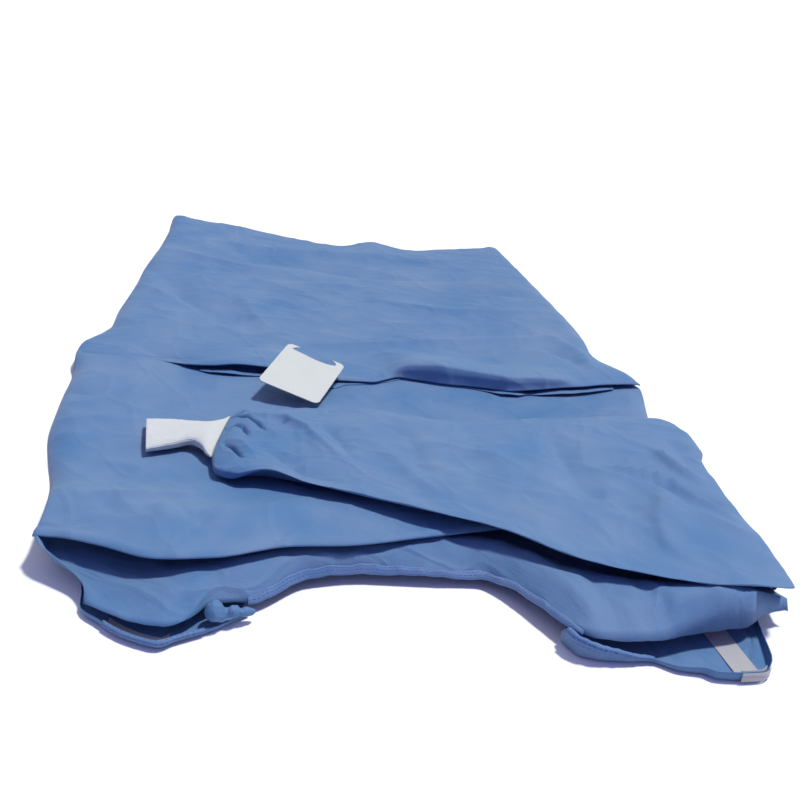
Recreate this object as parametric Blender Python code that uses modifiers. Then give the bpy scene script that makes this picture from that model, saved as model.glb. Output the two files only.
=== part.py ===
# Surgical gown laid face up on a table, neck towards the viewer and hem away.
# Metres, +X to the viewer's right, +Y towards the hem, +Z up, origin on the table
# under the middle of the gown's box.
import math

import bmesh
import bpy
import numpy as np
from mathutils import Euler, Matrix, Vector
from mathutils.bvhtree import BVHTree

COLLECTION = "surgical_gown"

# Cloth and seam sizes
WALL = 0.0012
SEAM_GAP = 0.0003
KNIT_WALL = 0.0016
BINDING_WALL = 0.0010
CARD_WIDTH = 0.0737
CARD_LENGTH = 0.0967
CARD_THICK = 0.0012
BELT_WIDTH = 0.015

# The front is one sheet: hem, waist pleat, chest fold and upper chest
FRONT_WIDTH = 0.62
EDGE_INSETS = (0.0, 0.003, 0.010, 0.024, 0.050)
INNER_COLUMNS = 18
SKIRT_ROWS = 10
CHEST_ROWS = 8
UPPER_ROWS = 7
HEM_STATION = 0.58
WAIST_STATION = -0.110
CHEST_STATION = -0.500
SIDE_RISE = (0.0, 0.42, 0.80)
SIDE_EDGE_Z = 0.0021
FOLD_EDGE_SHARE = 0.90
FOLD_TURN = 0.0024
PLEAT_APPROACH = 0.105
CHEST_RISE = (0.150, 0.045)

# Where the front's sides lie in plan, as the gown spreads from hem to chest
SIDES = (
    "y left right",
    (0.640, -0.352, 0.250),
    (0.560, -0.341, 0.262),
    (0.432, -0.335, 0.277),
    (0.298, -0.338, 0.295),
    (0.204, -0.332, 0.306),
    (0.088, -0.334, 0.321),
    (0.026, -0.339, 0.317),
    (-0.023, -0.352, 0.321),
    (-0.069, -0.355, 0.336),
    (-0.120, -0.351, 0.342),
    (-0.192, -0.346, 0.328),
    (-0.293, -0.335, 0.325),
    (-0.357, -0.317, 0.325),
    (-0.414, -0.300, 0.325),
    (-0.469, -0.290, 0.325),
    (-0.520, -0.286, 0.325),
)

# Far edge of the front, with its corners raised off the table
HEM = (
    "x y z",
    (-0.350, 0.626, 0.023),
    (-0.291, 0.602, 0.017),
    (-0.224, 0.590, 0.014),
    (-0.137, 0.556, 0.010),
    (-0.045, 0.524, 0.008),
    (0.020, 0.548, 0.013),
    (0.083, 0.528, 0.008),
    (0.150, 0.548, 0.010),
    (0.219, 0.562, 0.014),
    (0.262, 0.572, 0.020),
)

# Waist pleat: lip is its near edge, depth how far it goes back, open the height of
# its hollow, turn the radius of its lip, face how far behind the lip its crest runs
# and rise how much higher that crest is
WAIST_PLEAT = (
    "x lip depth open turn face rise",
    (-0.360, -0.094, 0.010, 0.0006, 0.0019, 0.010, 0.0),
    (-0.255, -0.098, 0.011, 0.0006, 0.0019, 0.010, 0.0),
    (-0.235, -0.105, 0.014, 0.0015, 0.0019, 0.010, 0.0),
    (-0.220, -0.114, 0.018, 0.0032, 0.0019, 0.010, 0.0),
    (-0.190, -0.120, 0.020, 0.0060, 0.0019, 0.010, 0.0),
    (-0.160, -0.116, 0.022, 0.0075, 0.0019, 0.010, 0.0),
    (-0.130, -0.114, 0.022, 0.0065, 0.0019, 0.010, 0.0),
    (-0.060, -0.124, 0.020, 0.0038, 0.0019, 0.010, 0.0),
    (0.000, -0.122, 0.020, 0.0038, 0.0019, 0.010, 0.0),
    (0.020, -0.110, 0.020, 0.0038, 0.0019, 0.010, 0.0),
    (0.036, -0.1010, 0.024, 0.0038, 0.0019, 0.010, 0.0040),
    (0.050, -0.1035, 0.030, 0.0038, 0.0019, 0.018, 0.0070),
    (0.066, -0.1070, 0.034, 0.0038, 0.0019, 0.026, 0.0085),
    (0.090, -0.1130, 0.038, 0.0038, 0.0019, 0.030, 0.0095),
    (0.121, -0.1160, 0.034, 0.0038, 0.0019, 0.023, 0.0090),
    (0.150, -0.1240, 0.032, 0.0038, 0.0019, 0.017, 0.0080),
    (0.168, -0.1310, 0.032, 0.0040, 0.0019, 0.016, 0.0075),
    (0.200, -0.1280, 0.026, 0.0044, 0.0019, 0.011, 0.0055),
    (0.230, -0.1230, 0.024, 0.0055, 0.0019, 0.010, 0.0025),
    (0.260, -0.1190, 0.022, 0.0060, 0.0019, 0.010, 0.0),
    (0.284, -0.1110, 0.020, 0.0055, 0.0019, 0.010, 0.0),
    (0.310, -0.1020, 0.018, 0.0050, 0.0019, 0.010, 0.0),
    (0.345, -0.0920, 0.016, 0.0045, 0.0019, 0.010, 0.0),
)

# Chest fold: its lip, how high the upper layer stands there and how far it goes back
CHEST_FOLD = (
    "x lip top depth",
    (-0.2870, -0.5165, 0.0314, 0.034),
    (-0.2770, -0.5185, 0.0306, 0.036),
    (-0.2640, -0.5216, 0.0320, 0.040),
    (-0.2294, -0.5368, 0.0360, 0.048),
    (-0.1836, -0.5561, 0.0390, 0.050),
    (-0.1384, -0.5508, 0.0390, 0.050),
    (-0.0811, -0.5250, 0.0360, 0.044),
    (-0.0320, -0.5160, 0.0340, 0.042),
    (0.0360, -0.4920, 0.0310, 0.040),
    (0.1200, -0.4660, 0.0290, 0.036),
    (0.2200, -0.4500, 0.0285, 0.030),
    (0.3350, -0.4400, 0.0280, 0.024),
)

# Near edge of the upper chest: left shoulder, neckline, right shoulder
NECK_EDGE = (
    "x y z",
    (-0.2336, -0.5789, 0.0100),
    (-0.2150, -0.5920, 0.0115),
    (-0.1930, -0.6030, 0.0120),
    (-0.1710, -0.6075, 0.0120),
    (-0.1520, -0.5955, 0.0110),
    (-0.1420, -0.5820, 0.0110),
    (-0.1310, -0.5740, 0.0100),
    (-0.1050, -0.5660, 0.0090),
    (-0.0630, -0.5300, 0.0080),
    (-0.0120, -0.5200, 0.0080),
    (0.0450, -0.5200, 0.0080),
    (0.0800, -0.5190, 0.0090),
    (0.1000, -0.5330, 0.0115),
    (0.1209, -0.5620, 0.0150),
    (0.1370, -0.5875, 0.0165),
    (0.1465, -0.6020, 0.0168),
    (0.1618, -0.6080, 0.0165),
    (0.1820, -0.6080, 0.0160),
    (0.2020, -0.6065, 0.0155),
    (0.2435, -0.5930, 0.0155),
    (0.2844, -0.5827, 0.0155),
    (0.3083, -0.5651, 0.0150),
    (0.3300, -0.5548, 0.0150),
)

# Height of the front's face along the gown, at its middle and near its sides
FRONT_HEIGHT = (
    "y middle side",
    (0.640, 0.009, 0.020),
    (0.480, 0.010, 0.019),
    (0.300, 0.012, 0.020),
    (0.120, 0.014, 0.021),
    (-0.040, 0.013, 0.020),
    (-0.200, 0.012, 0.016),
    (-0.330, 0.013, 0.015),
    (-0.420, 0.020, 0.019),
    (-0.500, 0.032, 0.028),
    (-0.600, 0.036, 0.032),
)
UPPER_CHEST_Z = 0.0135
UPPER_CHEST_LEFT = -0.2336
UPPER_CHEST_RIGHT = 0.330

# Left side of the upper chest, a rim that closes the fold's hollow
LEFT_RIM = (
    "y x z",
    (-0.4700, -0.2866, 0.0115),
    (-0.5000, -0.2866, 0.0125),
    (-0.5120, -0.2866, 0.0180),
    (-0.5184, -0.2863, 0.0240),
    (-0.5352, -0.2803, 0.0220),
    (-0.5492, -0.2676, 0.0180),
    (-0.5691, -0.2528, 0.0140),
    (-0.5789, -0.2336, 0.0100),
)
RIM_INSETS = (0.002, 0.015)

# Back panels: near edge in plan, and how high that edge stands up
BACK_LEFT_NEAR = (
    "x y rise",
    (-0.3180, -0.3400, 0.0015),
    (-0.2960, -0.4000, 0.0015),
    (-0.2850, -0.4600, 0.0015),
    (-0.2680, -0.5000, 0.0015),
    (-0.2500, -0.5400, 0.0018),
    (-0.2371, -0.5651, 0.0040),
    (-0.2352, -0.5766, 0.0050),
    (-0.2202, -0.5906, 0.0058),
    (-0.2002, -0.6061, 0.0062),
    (-0.1851, -0.6134, 0.0064),
    (-0.1715, -0.6172, 0.0064),
    (-0.1604, -0.6096, 0.0060),
    (-0.1488, -0.6029, 0.0056),
    (-0.1329, -0.5934, 0.0050),
    (-0.1191, -0.5814, 0.0045),
    (-0.1098, -0.5731, 0.0040),
)
BACK_RIGHT_NEAR = (
    "x y rise",
    (0.1347, -0.5914, 0.0120),
    (0.1380, -0.5975, 0.0180),
    (0.1446, -0.6079, 0.0180),
    (0.1530, -0.6110, 0.0160),
    (0.1618, -0.6129, 0.0140),
    (0.1820, -0.6129, 0.0090),
    (0.1995, -0.6107, 0.0050),
    (0.2071, -0.6135, 0.0045),
    (0.2216, -0.6213, 0.0060),
    (0.2390, -0.6236, 0.0075),
    (0.2473, -0.6288, 0.0085),
    (0.2605, -0.6296, 0.0090),
    (0.2820, -0.6273, 0.0090),
    (0.2935, -0.6150, 0.0100),
    (0.3020, -0.5772, 0.0070),
    (0.3120, -0.5200, 0.0030),
)
BACK_HEM_Y = 0.505
PANEL_ROWS = 12
BAND_START = 0.97
CORNER_SHIFT = 0.009
CORNER_REACH = 14.0
BAND_PROFILE = ((-0.0040, 0.0), (0.0, 0.06), (0.0016, 0.50), (0.0018, 1.0))
BACK_SIDE_INSET = 0.001
CENTRE_BACK = (
    "y left right",
    (0.510, -0.004, 0.000),
    (0.200, -0.008, 0.004),
    (-0.200, -0.040, 0.034),
    (-0.420, -0.080, 0.080),
    (-0.560, -0.106, 0.145),
)

# Folded-over sleeve: rings from the shoulder side to the wrist
SLEEVE = (
    "x far near top_far top_near",
    (0.296, -0.211, -0.5685, 0.0270, 0.0460),
    (0.260, -0.216, -0.5680, 0.0270, 0.0465),
    (0.200, -0.224, -0.5567, 0.0275, 0.0470),
    (0.150, -0.232, -0.5375, 0.0280, 0.0470),
    (0.100, -0.240, -0.5025, 0.0280, 0.0475),
    (0.040, -0.228, -0.4775, 0.0280, 0.0475),
    (-0.020, -0.214, -0.4518, 0.0260, 0.0450),
    (-0.070, -0.222, -0.4287, 0.0255, 0.0430),
    (-0.110, -0.2351, -0.4061, 0.0275, 0.0410),
    (-0.138, -0.2398, -0.4010, 0.0300, 0.0370),
    (-0.152, -0.2500, -0.3860, 0.0295, 0.0325),
    (-0.158, -0.2590, -0.3580, 0.0280, 0.0290),
)
SLEEVE_LIP = 0.0029
LIP_END_X = -0.08
LIP_START = 0.84
LIP_END = 0.985
WRIST_LEAN = 0.010
SLEEVE_CLEAR = 0.0013
SLEEVE_DROP = 0.09
SLEEVE_RING = 44
SLEEVE_WAVES = 7
SLEEVE_WAVE_DEPTH = 0.0022
SHOULDER_SEAM_X = 0.318
SHOULDER_EDGE_X = 0.333
SHOULDER_TUCK = 0.014

# How the sleeve's outer layer turns up round the shoulder fold: over is how far it
# has gone out to the fold and back, z its height, inner where the lower layer lies
SHOULDER_TURN = (
    "over z inner",
    (0.30, 0.0045, 0.3310),
    (0.62, 0.0070, 0.3300),
    (0.92, 0.0130, 0.3285),
    (1.00, 0.0220, 0.3230),
    (0.82, 0.0310, 0.3160),
    (0.35, 0.0370, 0.3080),
)
SHOULDER_FOLD = (
    "y x",
    (-0.200, 0.3450),
    (-0.215, 0.3530),
    (-0.250, 0.3550),
    (-0.304, 0.3500),
    (-0.368, 0.3400),
    (-0.427, 0.3370),
    (-0.500, 0.3400),
    (-0.530, 0.3385),
    (-0.565, 0.3375),
)

# Sleeve turned in between front and back on the other side
HIDDEN_SLEEVE = (
    "x far near",
    (-0.248, -0.350, -0.512),
    (-0.200, -0.350, -0.508),
    (-0.080, -0.356, -0.490),
    (0.050, -0.366, -0.472),
    (0.150, -0.376, -0.462),
    (0.172, -0.388, -0.450),
)
HIDDEN_SLEEVE_LOW = 0.0015
HIDDEN_SLEEVE_HEIGHT = 0.0052
HIDDEN_RING = 14

# Knitted cuffs: seam end to open end
CUFF = (
    "x far near low top lean",
    (-0.1594, -0.2620, -0.3550, 0.0205, 0.0272, 0.010),
    (-0.1650, -0.2710, -0.3490, 0.0200, 0.0290, 0.0088),
    (-0.1720, -0.2800, -0.3380, 0.0185, 0.0310, 0.0060),
    (-0.1850, -0.2835, -0.3270, 0.0175, 0.0310, 0.0020),
    (-0.2050, -0.2800, -0.3350, 0.0170, 0.0300, 0.0000),
    (-0.2230, -0.2787, -0.3440, 0.0170, 0.0290, 0.0020),
    (-0.2355, -0.2787, -0.3500, 0.0170, 0.0280, 0.0060),
)
HIDDEN_CUFF = (
    "x far near low top",
    (0.1723, -0.394, -0.444, 0.0018, 0.0072),
    (0.2100, -0.396, -0.442, 0.0018, 0.0072),
    (0.2480, -0.394, -0.444, 0.0018, 0.0072),
)
CUFF_RING = 20

# Belt strips inside the waist pleat: near edge of each, its lift off the front, and
# how far it has risen to the card that holds its end
BELT_LEFT = (
    "x y lift card",
    (-0.2050, -0.1160, 0.0, 0.0),
    (-0.1900, -0.1205, 0.0, 0.0),
    (-0.1600, -0.1205, 0.0, 0.0),
    (-0.1250, -0.1200, 0.0, 0.0),
)
BELT_RIGHT = (
    "x y lift card",
    (-0.1000, -0.1560, 0.0, 1.0),
    (-0.0850, -0.1560, 0.0, 1.0),
    (-0.0690, -0.1520, 0.0120, 0.0),
    (-0.0560, -0.1455, 0.0030, 0.0),
    (-0.0420, -0.1400, 0.0, 0.0),
    (-0.0300, -0.1290, 0.0, 0.0),
    (-0.0100, -0.1245, 0.0, 0.0),
    (0.0200, -0.1120, 0.0, 0.0),
    (0.0400, -0.1010, 0.0, 0.0),
    (0.0700, -0.1060, 0.0, 0.0),
    (0.0900, -0.1130, 0.0, 0.0),
    (0.1210, -0.1175, 0.0, 0.0),
    (0.1500, -0.1255, 0.0, 0.0),
    (0.1680, -0.1325, 0.0, 0.0),
    (0.2000, -0.1300, 0.0, 0.0),
    (0.2300, -0.1250, 0.0, 0.0),
    (0.2600, -0.1210, 0.0, 0.0),
    (0.2840, -0.1130, 0.0, 0.0),
    (0.3050, -0.1050, 0.0, 0.0),
)
BELT_STEP = 0.008
BELT_PROBE = 0.0022

# Card that holds the belt ends: where it lies and how it leans
CARD_CENTRE = (-0.0825, -0.1511, 0.0344)
CARD_TURN = (7.5, 13.0, -16.8)
CARD_CORNER = 0.007
NOTCH_RADIUS = 0.0420
NOTCH_OFFSET = 0.0300

# Binding along the neckline and the turned-up neck bands
BINDING_WIDTH = 0.009
BINDING_DROP = 0.55
BAND_COLUMNS = 22
NECKLINE = (-0.118, 0.120)
BAND_LEFT = (-0.214, -0.140)
BAND_RIGHT = (0.137, 0.204)

# Hook-and-loop fasteners on the neck bands
FASTENER_WALL = 0.0010
FASTENER_COLUMNS = 8
FASTENER_LEFT = (
    "x far near",
    (-0.2160, -0.5790, -0.5890),
    (-0.2000, -0.5915, -0.6015),
    (-0.1850, -0.5990, -0.6088),
    (-0.1715, -0.6025, -0.6124),
    (-0.1620, -0.5960, -0.6060),
)
FASTENER_RIGHT = (
    "x far near",
    (0.2590, -0.5400, -0.6180),
    (0.2700, -0.5400, -0.6210),
    (0.2810, -0.5400, -0.6190),
)

# Rolled end of the neck tie: its thickness along X
NECK_TIE_CENTRE = (-0.1235, -0.5905, 0.0118)
NECK_TIE_SIZE = (0.0170, 0.0092, 0.0078)
NECK_TIE = (
    "along thick",
    (-1.0, 1.00),
    (-0.4, 1.00),
    (0.0, 0.62),
    (0.3, 0.50),
    (0.6, 0.78),
    (1.0, 1.00),
)

CLOTH_BLUE = (0.190, 0.300, 0.540)
KNIT_WHITE = (0.620, 0.640, 0.640)
PATCH_WHITE = (0.560, 0.560, 0.550)
CARD_WHITE = (0.660, 0.680, 0.670)


def columns(table):
    # A table's rows as one list of numbers for each named column.
    names = table[0].split()
    return {name: np.array([row[i] for row in table[1:]]) for i, name in enumerate(names)}


def follow(keys, values, at):
    # Smooth curve through a table's rows, level where the values turn back.
    if keys[0] > keys[-1]:
        keys = keys[::-1]
        values = values[::-1]
    steps = np.diff(keys)
    slopes = np.diff(values) / steps
    tangents = np.zeros(len(keys))
    for i in range(1, len(keys) - 1):
        if slopes[i - 1] * slopes[i] > 0:
            tangents[i] = 2 * slopes[i - 1] * slopes[i] / (slopes[i - 1] + slopes[i])
    tangents[0] = slopes[0]
    tangents[-1] = slopes[-1]
    at = min(max(at, keys[0]), keys[-1])
    i = min(int(np.searchsorted(keys, at, side="right")) - 1, len(keys) - 2)
    u = (at - keys[i]) / steps[i]
    low = (1 + 2 * u) * (1 - u) ** 2 * values[i] + u * (1 - u) ** 2 * steps[i] * tangents[i]
    high = u * u * (3 - 2 * u) * values[i + 1] - u * u * (1 - u) * steps[i] * tangents[i + 1]
    return float(low + high)


def ease(low, high, value):
    share = min(max((value - low) / (high - low), 0.0), 1.0)
    return share * share * (3 - 2 * share)


def material(name, colour, roughness):
    made = bpy.data.materials.new(name)
    made.use_nodes = True
    shader = made.node_tree.nodes["Principled BSDF"]
    shader.inputs["Base Color"].default_value = (*colour, 1.0)
    shader.inputs["Roughness"].default_value = roughness
    shader.inputs["Metallic"].default_value = 0.0
    return made


def add_object(name, mesh, colour, roughness=0.7):
    mesh.materials.append(material(name + "_finish", colour, roughness))
    made = bpy.data.objects.new(name, mesh)
    bpy.data.collections[COLLECTION].objects.link(made)
    return made


def grid_sheet(name, rows, wall, colour, closed=False, roughness=0.7):
    # Open sheet through rows of points, thickened away from its outer face.
    shape = bmesh.new()
    across = len(rows[0])
    bmesh.ops.create_grid(shape, x_segments=across - 1, y_segments=len(rows) - 1, size=1.0)
    shape.verts.ensure_lookup_table()
    for i, row in enumerate(rows):
        for j, point in enumerate(row):
            shape.verts[i * across + j].co = point
    if closed:
        bmesh.ops.remove_doubles(shape, verts=shape.verts, dist=0.00002)
    mesh = bpy.data.meshes.new(name)
    shape.to_mesh(mesh)
    shape.free()
    mesh.shade_smooth()
    made = add_object(name, mesh, colour, roughness)
    thick = made.modifiers.new("cloth_wall", "SOLIDIFY")
    thick.thickness = wall
    thick.offset = -1.0
    thick.use_rim = True
    return made


def front_height(x, y):
    # Face of the front away from its folds: low in the middle, fuller near the sides.
    heights = columns(FRONT_HEIGHT)
    sides = columns(SIDES)
    left = follow(sides["y"], sides["left"], y)
    right = follow(sides["y"], sides["right"], y)
    reach = min(x - left, right - x)
    middle = follow(heights["y"], heights["middle"], y)
    side = follow(heights["y"], heights["side"], y)
    return middle + (side - middle) * (1 - ease(0.03, 0.20, reach))


def fold_path(lip, top, low, depth, turn):
    # Cross-section of a fold: over the lip, back under it, and forward again.
    back = lip + depth
    under = top - 2 * turn
    gap = (under - low) / 2
    points = []
    for angle in (60, 20, -25, -65):
        swing = math.radians(angle)
        points.append((lip + turn - turn * math.cos(swing), top - turn + turn * math.sin(swing)))
    points.append((lip + turn * 1.6, under))
    points.append((back - gap * 0.6, under))
    for angle in (55, 0, -55):
        swing = math.radians(angle)
        points.append((back + gap * 0.6 * math.cos(swing), low + gap + gap * math.sin(swing)))
    points.append((back - gap * 0.8, low))
    return points


def side_place(y, share):
    # X at one share of the front's width, at one distance along the gown.
    sides = columns(SIDES)
    left = follow(sides["y"], sides["left"], y)
    right = follow(sides["y"], sides["right"], y)
    return left + (right - left) * share


def upper_place(rim, y, share):
    # X at one share of the upper chest's width, whose left side follows the rim.
    left = follow(rim["y"], rim["x"], y)
    return left + (UPPER_CHEST_RIGHT - left) * share


def front_column(share):
    # Points (x, y, z, fold) of one column, from hem to neckline.
    hem = columns(HEM)
    pleat = columns(WAIST_PLEAT)
    chest = columns(CHEST_FOLD)
    neck = columns(NECK_EDGE)
    points = []

    # Hem to the waist pleat
    hem_x = side_place(HEM_STATION, share)
    waist_x = side_place(WAIST_STATION, share)
    hem_y = follow(hem["x"], hem["y"], hem_x)
    hem_z = follow(hem["x"], hem["z"], hem_x)
    lip = follow(pleat["x"], pleat["lip"], waist_x)
    rise_start = lip + follow(pleat["x"], pleat["face"], waist_x) + PLEAT_APPROACH
    for i in range(SKIRT_ROWS):
        y = hem_y + (rise_start - hem_y) * i / (SKIRT_ROWS - 1)
        x = side_place(y, share)
        lift = (hem_z - front_height(hem_x, hem_y)) * (1 - ease(0.0, 0.10, hem_y - y))
        points.append((x, y, front_height(x, y) + lift, 0.0))

    # Waist pleat
    depth = follow(pleat["x"], pleat["depth"], waist_x)
    opened = follow(pleat["x"], pleat["open"], waist_x)
    turn = follow(pleat["x"], pleat["turn"], waist_x)
    low = front_height(waist_x, lip)
    top = low + opened + 2 * turn
    face = follow(pleat["x"], pleat["face"], waist_x)
    rise = follow(pleat["x"], pleat["rise"], waist_x)
    section = [
        (lip + face + 0.028, low + (top + rise - low) * 0.92),
        (lip + face + 0.009, top + rise - 0.0002),
        (lip + face * 0.6 + 0.002, top + rise * 0.62),
    ]
    section += fold_path(lip, top, low, depth, turn)
    section.append((lip - 0.004, low))
    for y, z in section:
        points.append((side_place(y, share), y, z, 1.0))

    # Waist to chest
    chest_x = side_place(CHEST_STATION, share)
    fold_lip = follow(chest["x"], chest["lip"], chest_x)
    fold_top = follow(chest["x"], chest["top"], chest_x)
    fold_back = follow(chest["x"], chest["depth"], chest_x)
    start = points[-1][1] - 0.030
    end = fold_lip + 0.016
    for i in range(CHEST_ROWS):
        y = start + (end - start) * i / (CHEST_ROWS - 1)
        x = side_place(y, share)
        near = ease(fold_lip + CHEST_RISE[0], fold_lip + CHEST_RISE[1], y)
        height = front_height(x, y) * (1 - near) + (fold_top - 0.0008) * near
        points.append((x, y, height, near))

    # Chest fold and upper chest, down to the neckline
    neck_x = UPPER_CHEST_LEFT + (UPPER_CHEST_RIGHT - UPPER_CHEST_LEFT) * share
    rim = columns(LEFT_RIM)
    edge_y = follow(neck["x"], neck["y"], neck_x)
    edge_z = follow(neck["x"], neck["z"], neck_x)
    section = fold_path(fold_lip, fold_top, UPPER_CHEST_Z, fold_back, FOLD_TURN)
    for i, (y, z) in enumerate(section):
        x = chest_x + (upper_place(rim, y, share) - chest_x) * ease(3, 9, i)
        points.append((x, y, z, 1.0))
    start = points[-1][1]
    for i in range(1, UPPER_ROWS + 1):
        y = start + (edge_y - start) * i / UPPER_ROWS
        near = ease(0.3, 1.0, i / UPPER_ROWS)
        x = upper_place(rim, y, share)
        x += (neck_x - x) * near
        points.append((x, y, UPPER_CHEST_Z + (edge_z - UPPER_CHEST_Z) * near, 1.0))
    return points


def front_shares():
    # Column places across the width: close together at the sides.
    near = [inset / FRONT_WIDTH for inset in EDGE_INSETS]
    inner = np.linspace(near[-1], 1 - near[-1], INNER_COLUMNS + 2)[1:-1]
    return near + list(inner) + [1 - value for value in reversed(near)]


def build_front():
    shares = front_shares()
    rim = columns(LEFT_RIM)
    lower = len(front_column(0.5)) - UPPER_ROWS - 2
    sheet = []
    for j, share in enumerate(shares):
        edge = min(j, len(shares) - 1 - j)
        height = SIDE_RISE[edge] if edge < len(SIDE_RISE) else 1.0
        at_rim = 1 - ease(RIM_INSETS[0], RIM_INSETS[1], share * FRONT_WIDTH)
        column = []
        for i, (x, y, z, folded) in enumerate(front_column(share)):
            held = height + (1 - height) * FOLD_EDGE_SHARE * folded
            z = SIDE_EDGE_Z + (z - SIDE_EDGE_Z) * held
            if i >= lower:
                z += (follow(rim["y"], rim["z"], y) - z) * at_rim
            column.append(Vector((x, y, z)))
        sheet.append(column)
    return grid_sheet("front", sheet, WALL, CLOTH_BLUE), sheet


def edge_normals(points):
    # Outward directions in plan along an edge that runs from left to right.
    normals = []
    for i in range(len(points)):
        run = points[min(i + 1, len(points) - 1)] - points[max(i - 1, 0)]
        normals.append(Vector((run.y, -run.x, 0.0)).normalized())
    return normals


def near_edge(table):
    # Feet of a back panel's near edge, evenly spaced, with the rise at each.
    near = columns(table)
    feet = []
    for x in np.linspace(near["x"][0], near["x"][-1], BAND_COLUMNS):
        feet.append(Vector((x, follow(near["x"], near["y"], x), 0.0)))
    return feet, [follow(near["x"], near["rise"], foot.x) for foot in feet]


def back_panel(name, table, side):
    # Flat panel on the table, its near edge turned up as a neck band.
    centre = columns(CENTRE_BACK)
    feet, rises = near_edge(table)
    out = edge_normals(feet)
    rows = []
    for i in range(PANEL_ROWS):
        down = i / (PANEL_ROWS - 1) * BAND_START
        row = []
        for j, foot in enumerate(feet):
            share = j / (len(feet) - 1)
            y = BACK_HEM_Y + (foot.y - BACK_HEM_Y) * down
            middle = follow(centre["y"], centre[side], y)
            outer = side_place(y, 0.0 if side == "left" else 1.0)
            if side == "left":
                x = (outer + BACK_SIDE_INSET) * (1 - share) + middle * share
            else:
                x = middle * (1 - share) + (outer - BACK_SIDE_INSET) * share
            x += (foot.x - x) * ease(0.45, 1.0, down)
            if side == "right":
                x += CORNER_SHIFT * max(0.0, 1.0 - share * CORNER_REACH) * ease(0.5, 0.9, down)
            row.append(Vector((x, y, 0.0)))
        rows.append(row)
    for lean, lift in BAND_PROFILE:
        row = []
        for j, foot in enumerate(feet):
            row.append(foot + out[j] * lean + Vector((0.0, 0.0, rises[j] * lift)))
        rows.append(row)
    return grid_sheet(name, rows, WALL, CLOTH_BLUE)


def ring_points(x, far, near, floor, top_far, top_near, count, waves=0, depth=0.0, lip=0.0, lean=0.0):
    # Flattened closed ring in the plane of one x, from its far fold over the top.
    # The floor is a height, or the function that gives one for x and y. A lip gathers
    # the near fold at the top, as thin as given, and lean slants the ring in plan.
    points = []
    for k in range(count):
        angle = 2 * math.pi * k / count
        across = math.copysign(abs(math.cos(angle)) ** 0.8, math.cos(angle))
        share = (1 - across) / 2
        held = ease(LIP_START, LIP_END, share) if lip > 0 else 0.0
        up = math.copysign(abs(math.sin(angle)) ** (0.65 - 0.30 * held), math.sin(angle))
        y = far + (near - far) * share
        low = floor(x, y) if callable(floor) else floor
        top = top_far + (top_near - top_far) * share
        middle = (low + top) / 2
        half = (top - low) / 2
        middle += (top - lip - middle) * held
        half += (lip - half) * held
        z = middle + half * up
        if up > 0:
            z += depth * up * math.sin(waves * math.pi * 2 * share)
        points.append(Vector((x - lean * (share - 0.5), y, z)))
    return points


def face_below(tree, x, y, start=0.2):
    # Topmost height of a solid under one place in plan, looking down from the start.
    hit = tree.ray_cast(Vector((x, y, start)), Vector((0.0, 0.0, -1.0)))[0]
    return hit.z if hit else 0.0


def build_sleeve_right(front_tree):
    chest = columns(CHEST_FOLD)
    table = columns(SLEEVE)
    turn = columns(SHOULDER_TURN)
    fold = columns(SHOULDER_FOLD)

    def sleeve_floor(x, y):
        # On the front, and past the lip of the chest fold a little lower than the lip.
        lip = follow(chest["x"], chest["lip"], x)
        crest = follow(chest["x"], chest["top"], x)
        height = face_below(front_tree, x, y)
        if y < lip + 0.010:
            height = max(height, crest - (lip + 0.010 - y) * SLEEVE_DROP)
        return height + SLEEVE_CLEAR

    far = table["far"][0]
    near = table["near"][0]
    top_far = table["top_far"][0]
    top_near = table["top_near"][0]
    rows = []
    for over, height, inner in zip(turn["over"], turn["z"], turn["inner"]):
        held = min(inner, SHOULDER_SEAM_X)
        ring = ring_points(held, far, near, sleeve_floor, top_far, top_near, SLEEVE_RING)
        for point in ring:
            share = (point.y - far) / (near - far)
            low = sleeve_floor(held, point.y)
            top = top_far + (top_near - top_far) * share
            upper = (point.z - low) / (top - low)
            outer = follow(fold["y"], fold["x"], point.y)
            outer = SHOULDER_EDGE_X + (outer - SHOULDER_EDGE_X) * over
            start = inner - SHOULDER_TUCK * ease(0.013, 0.022, height) * ease(-0.500, -0.560, point.y)
            point.x = start + (outer - start) * ease(0.05, 0.80, upper)
            point.z = low + (height * top / top_near - low) * upper
        rows.append(ring + [ring[0].copy()])
    for i, x in enumerate(table["x"]):
        gather = ease(-0.06, -0.13, x) * (1.0 - 0.8 * ease(-0.138, -0.152, x))
        ring = ring_points(
            x, table["far"][i], table["near"][i], sleeve_floor, table["top_far"][i],
            table["top_near"][i], SLEEVE_RING, SLEEVE_WAVES, SLEEVE_WAVE_DEPTH * gather,
            SLEEVE_LIP if x > LIP_END_X else 0.0, WRIST_LEAN * ease(-0.105, -0.158, x),
        )
        rows.append(ring + [ring[0].copy()])
    rows = [list(reversed(row)) for row in rows]
    return grid_sheet("sleeve_right", rows, WALL, CLOTH_BLUE, closed=True)


def tube(name, table, low, top, count, wall, colour, flip=False):
    sizes = columns(table)
    rows = []
    for i in range(len(sizes["x"])):
        base = sizes["low"][i] if "low" in sizes else low
        crown = sizes["top"][i] if "top" in sizes else top
        ring = ring_points(
            sizes["x"][i], sizes["far"][i], sizes["near"][i], base, crown, crown, count,
            lean=sizes["lean"][i] if "lean" in sizes else 0.0,
        )
        rows.append(ring + [ring[0].copy()])
    if flip:
        rows = [list(reversed(row)) for row in rows]
    return grid_sheet(name, rows, wall, colour, closed=True, roughness=0.85)


def card_place():
    turn = Euler([math.radians(angle) for angle in CARD_TURN], "XYZ")
    return Matrix.Translation(CARD_CENTRE) @ turn.to_matrix().to_4x4()


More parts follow.
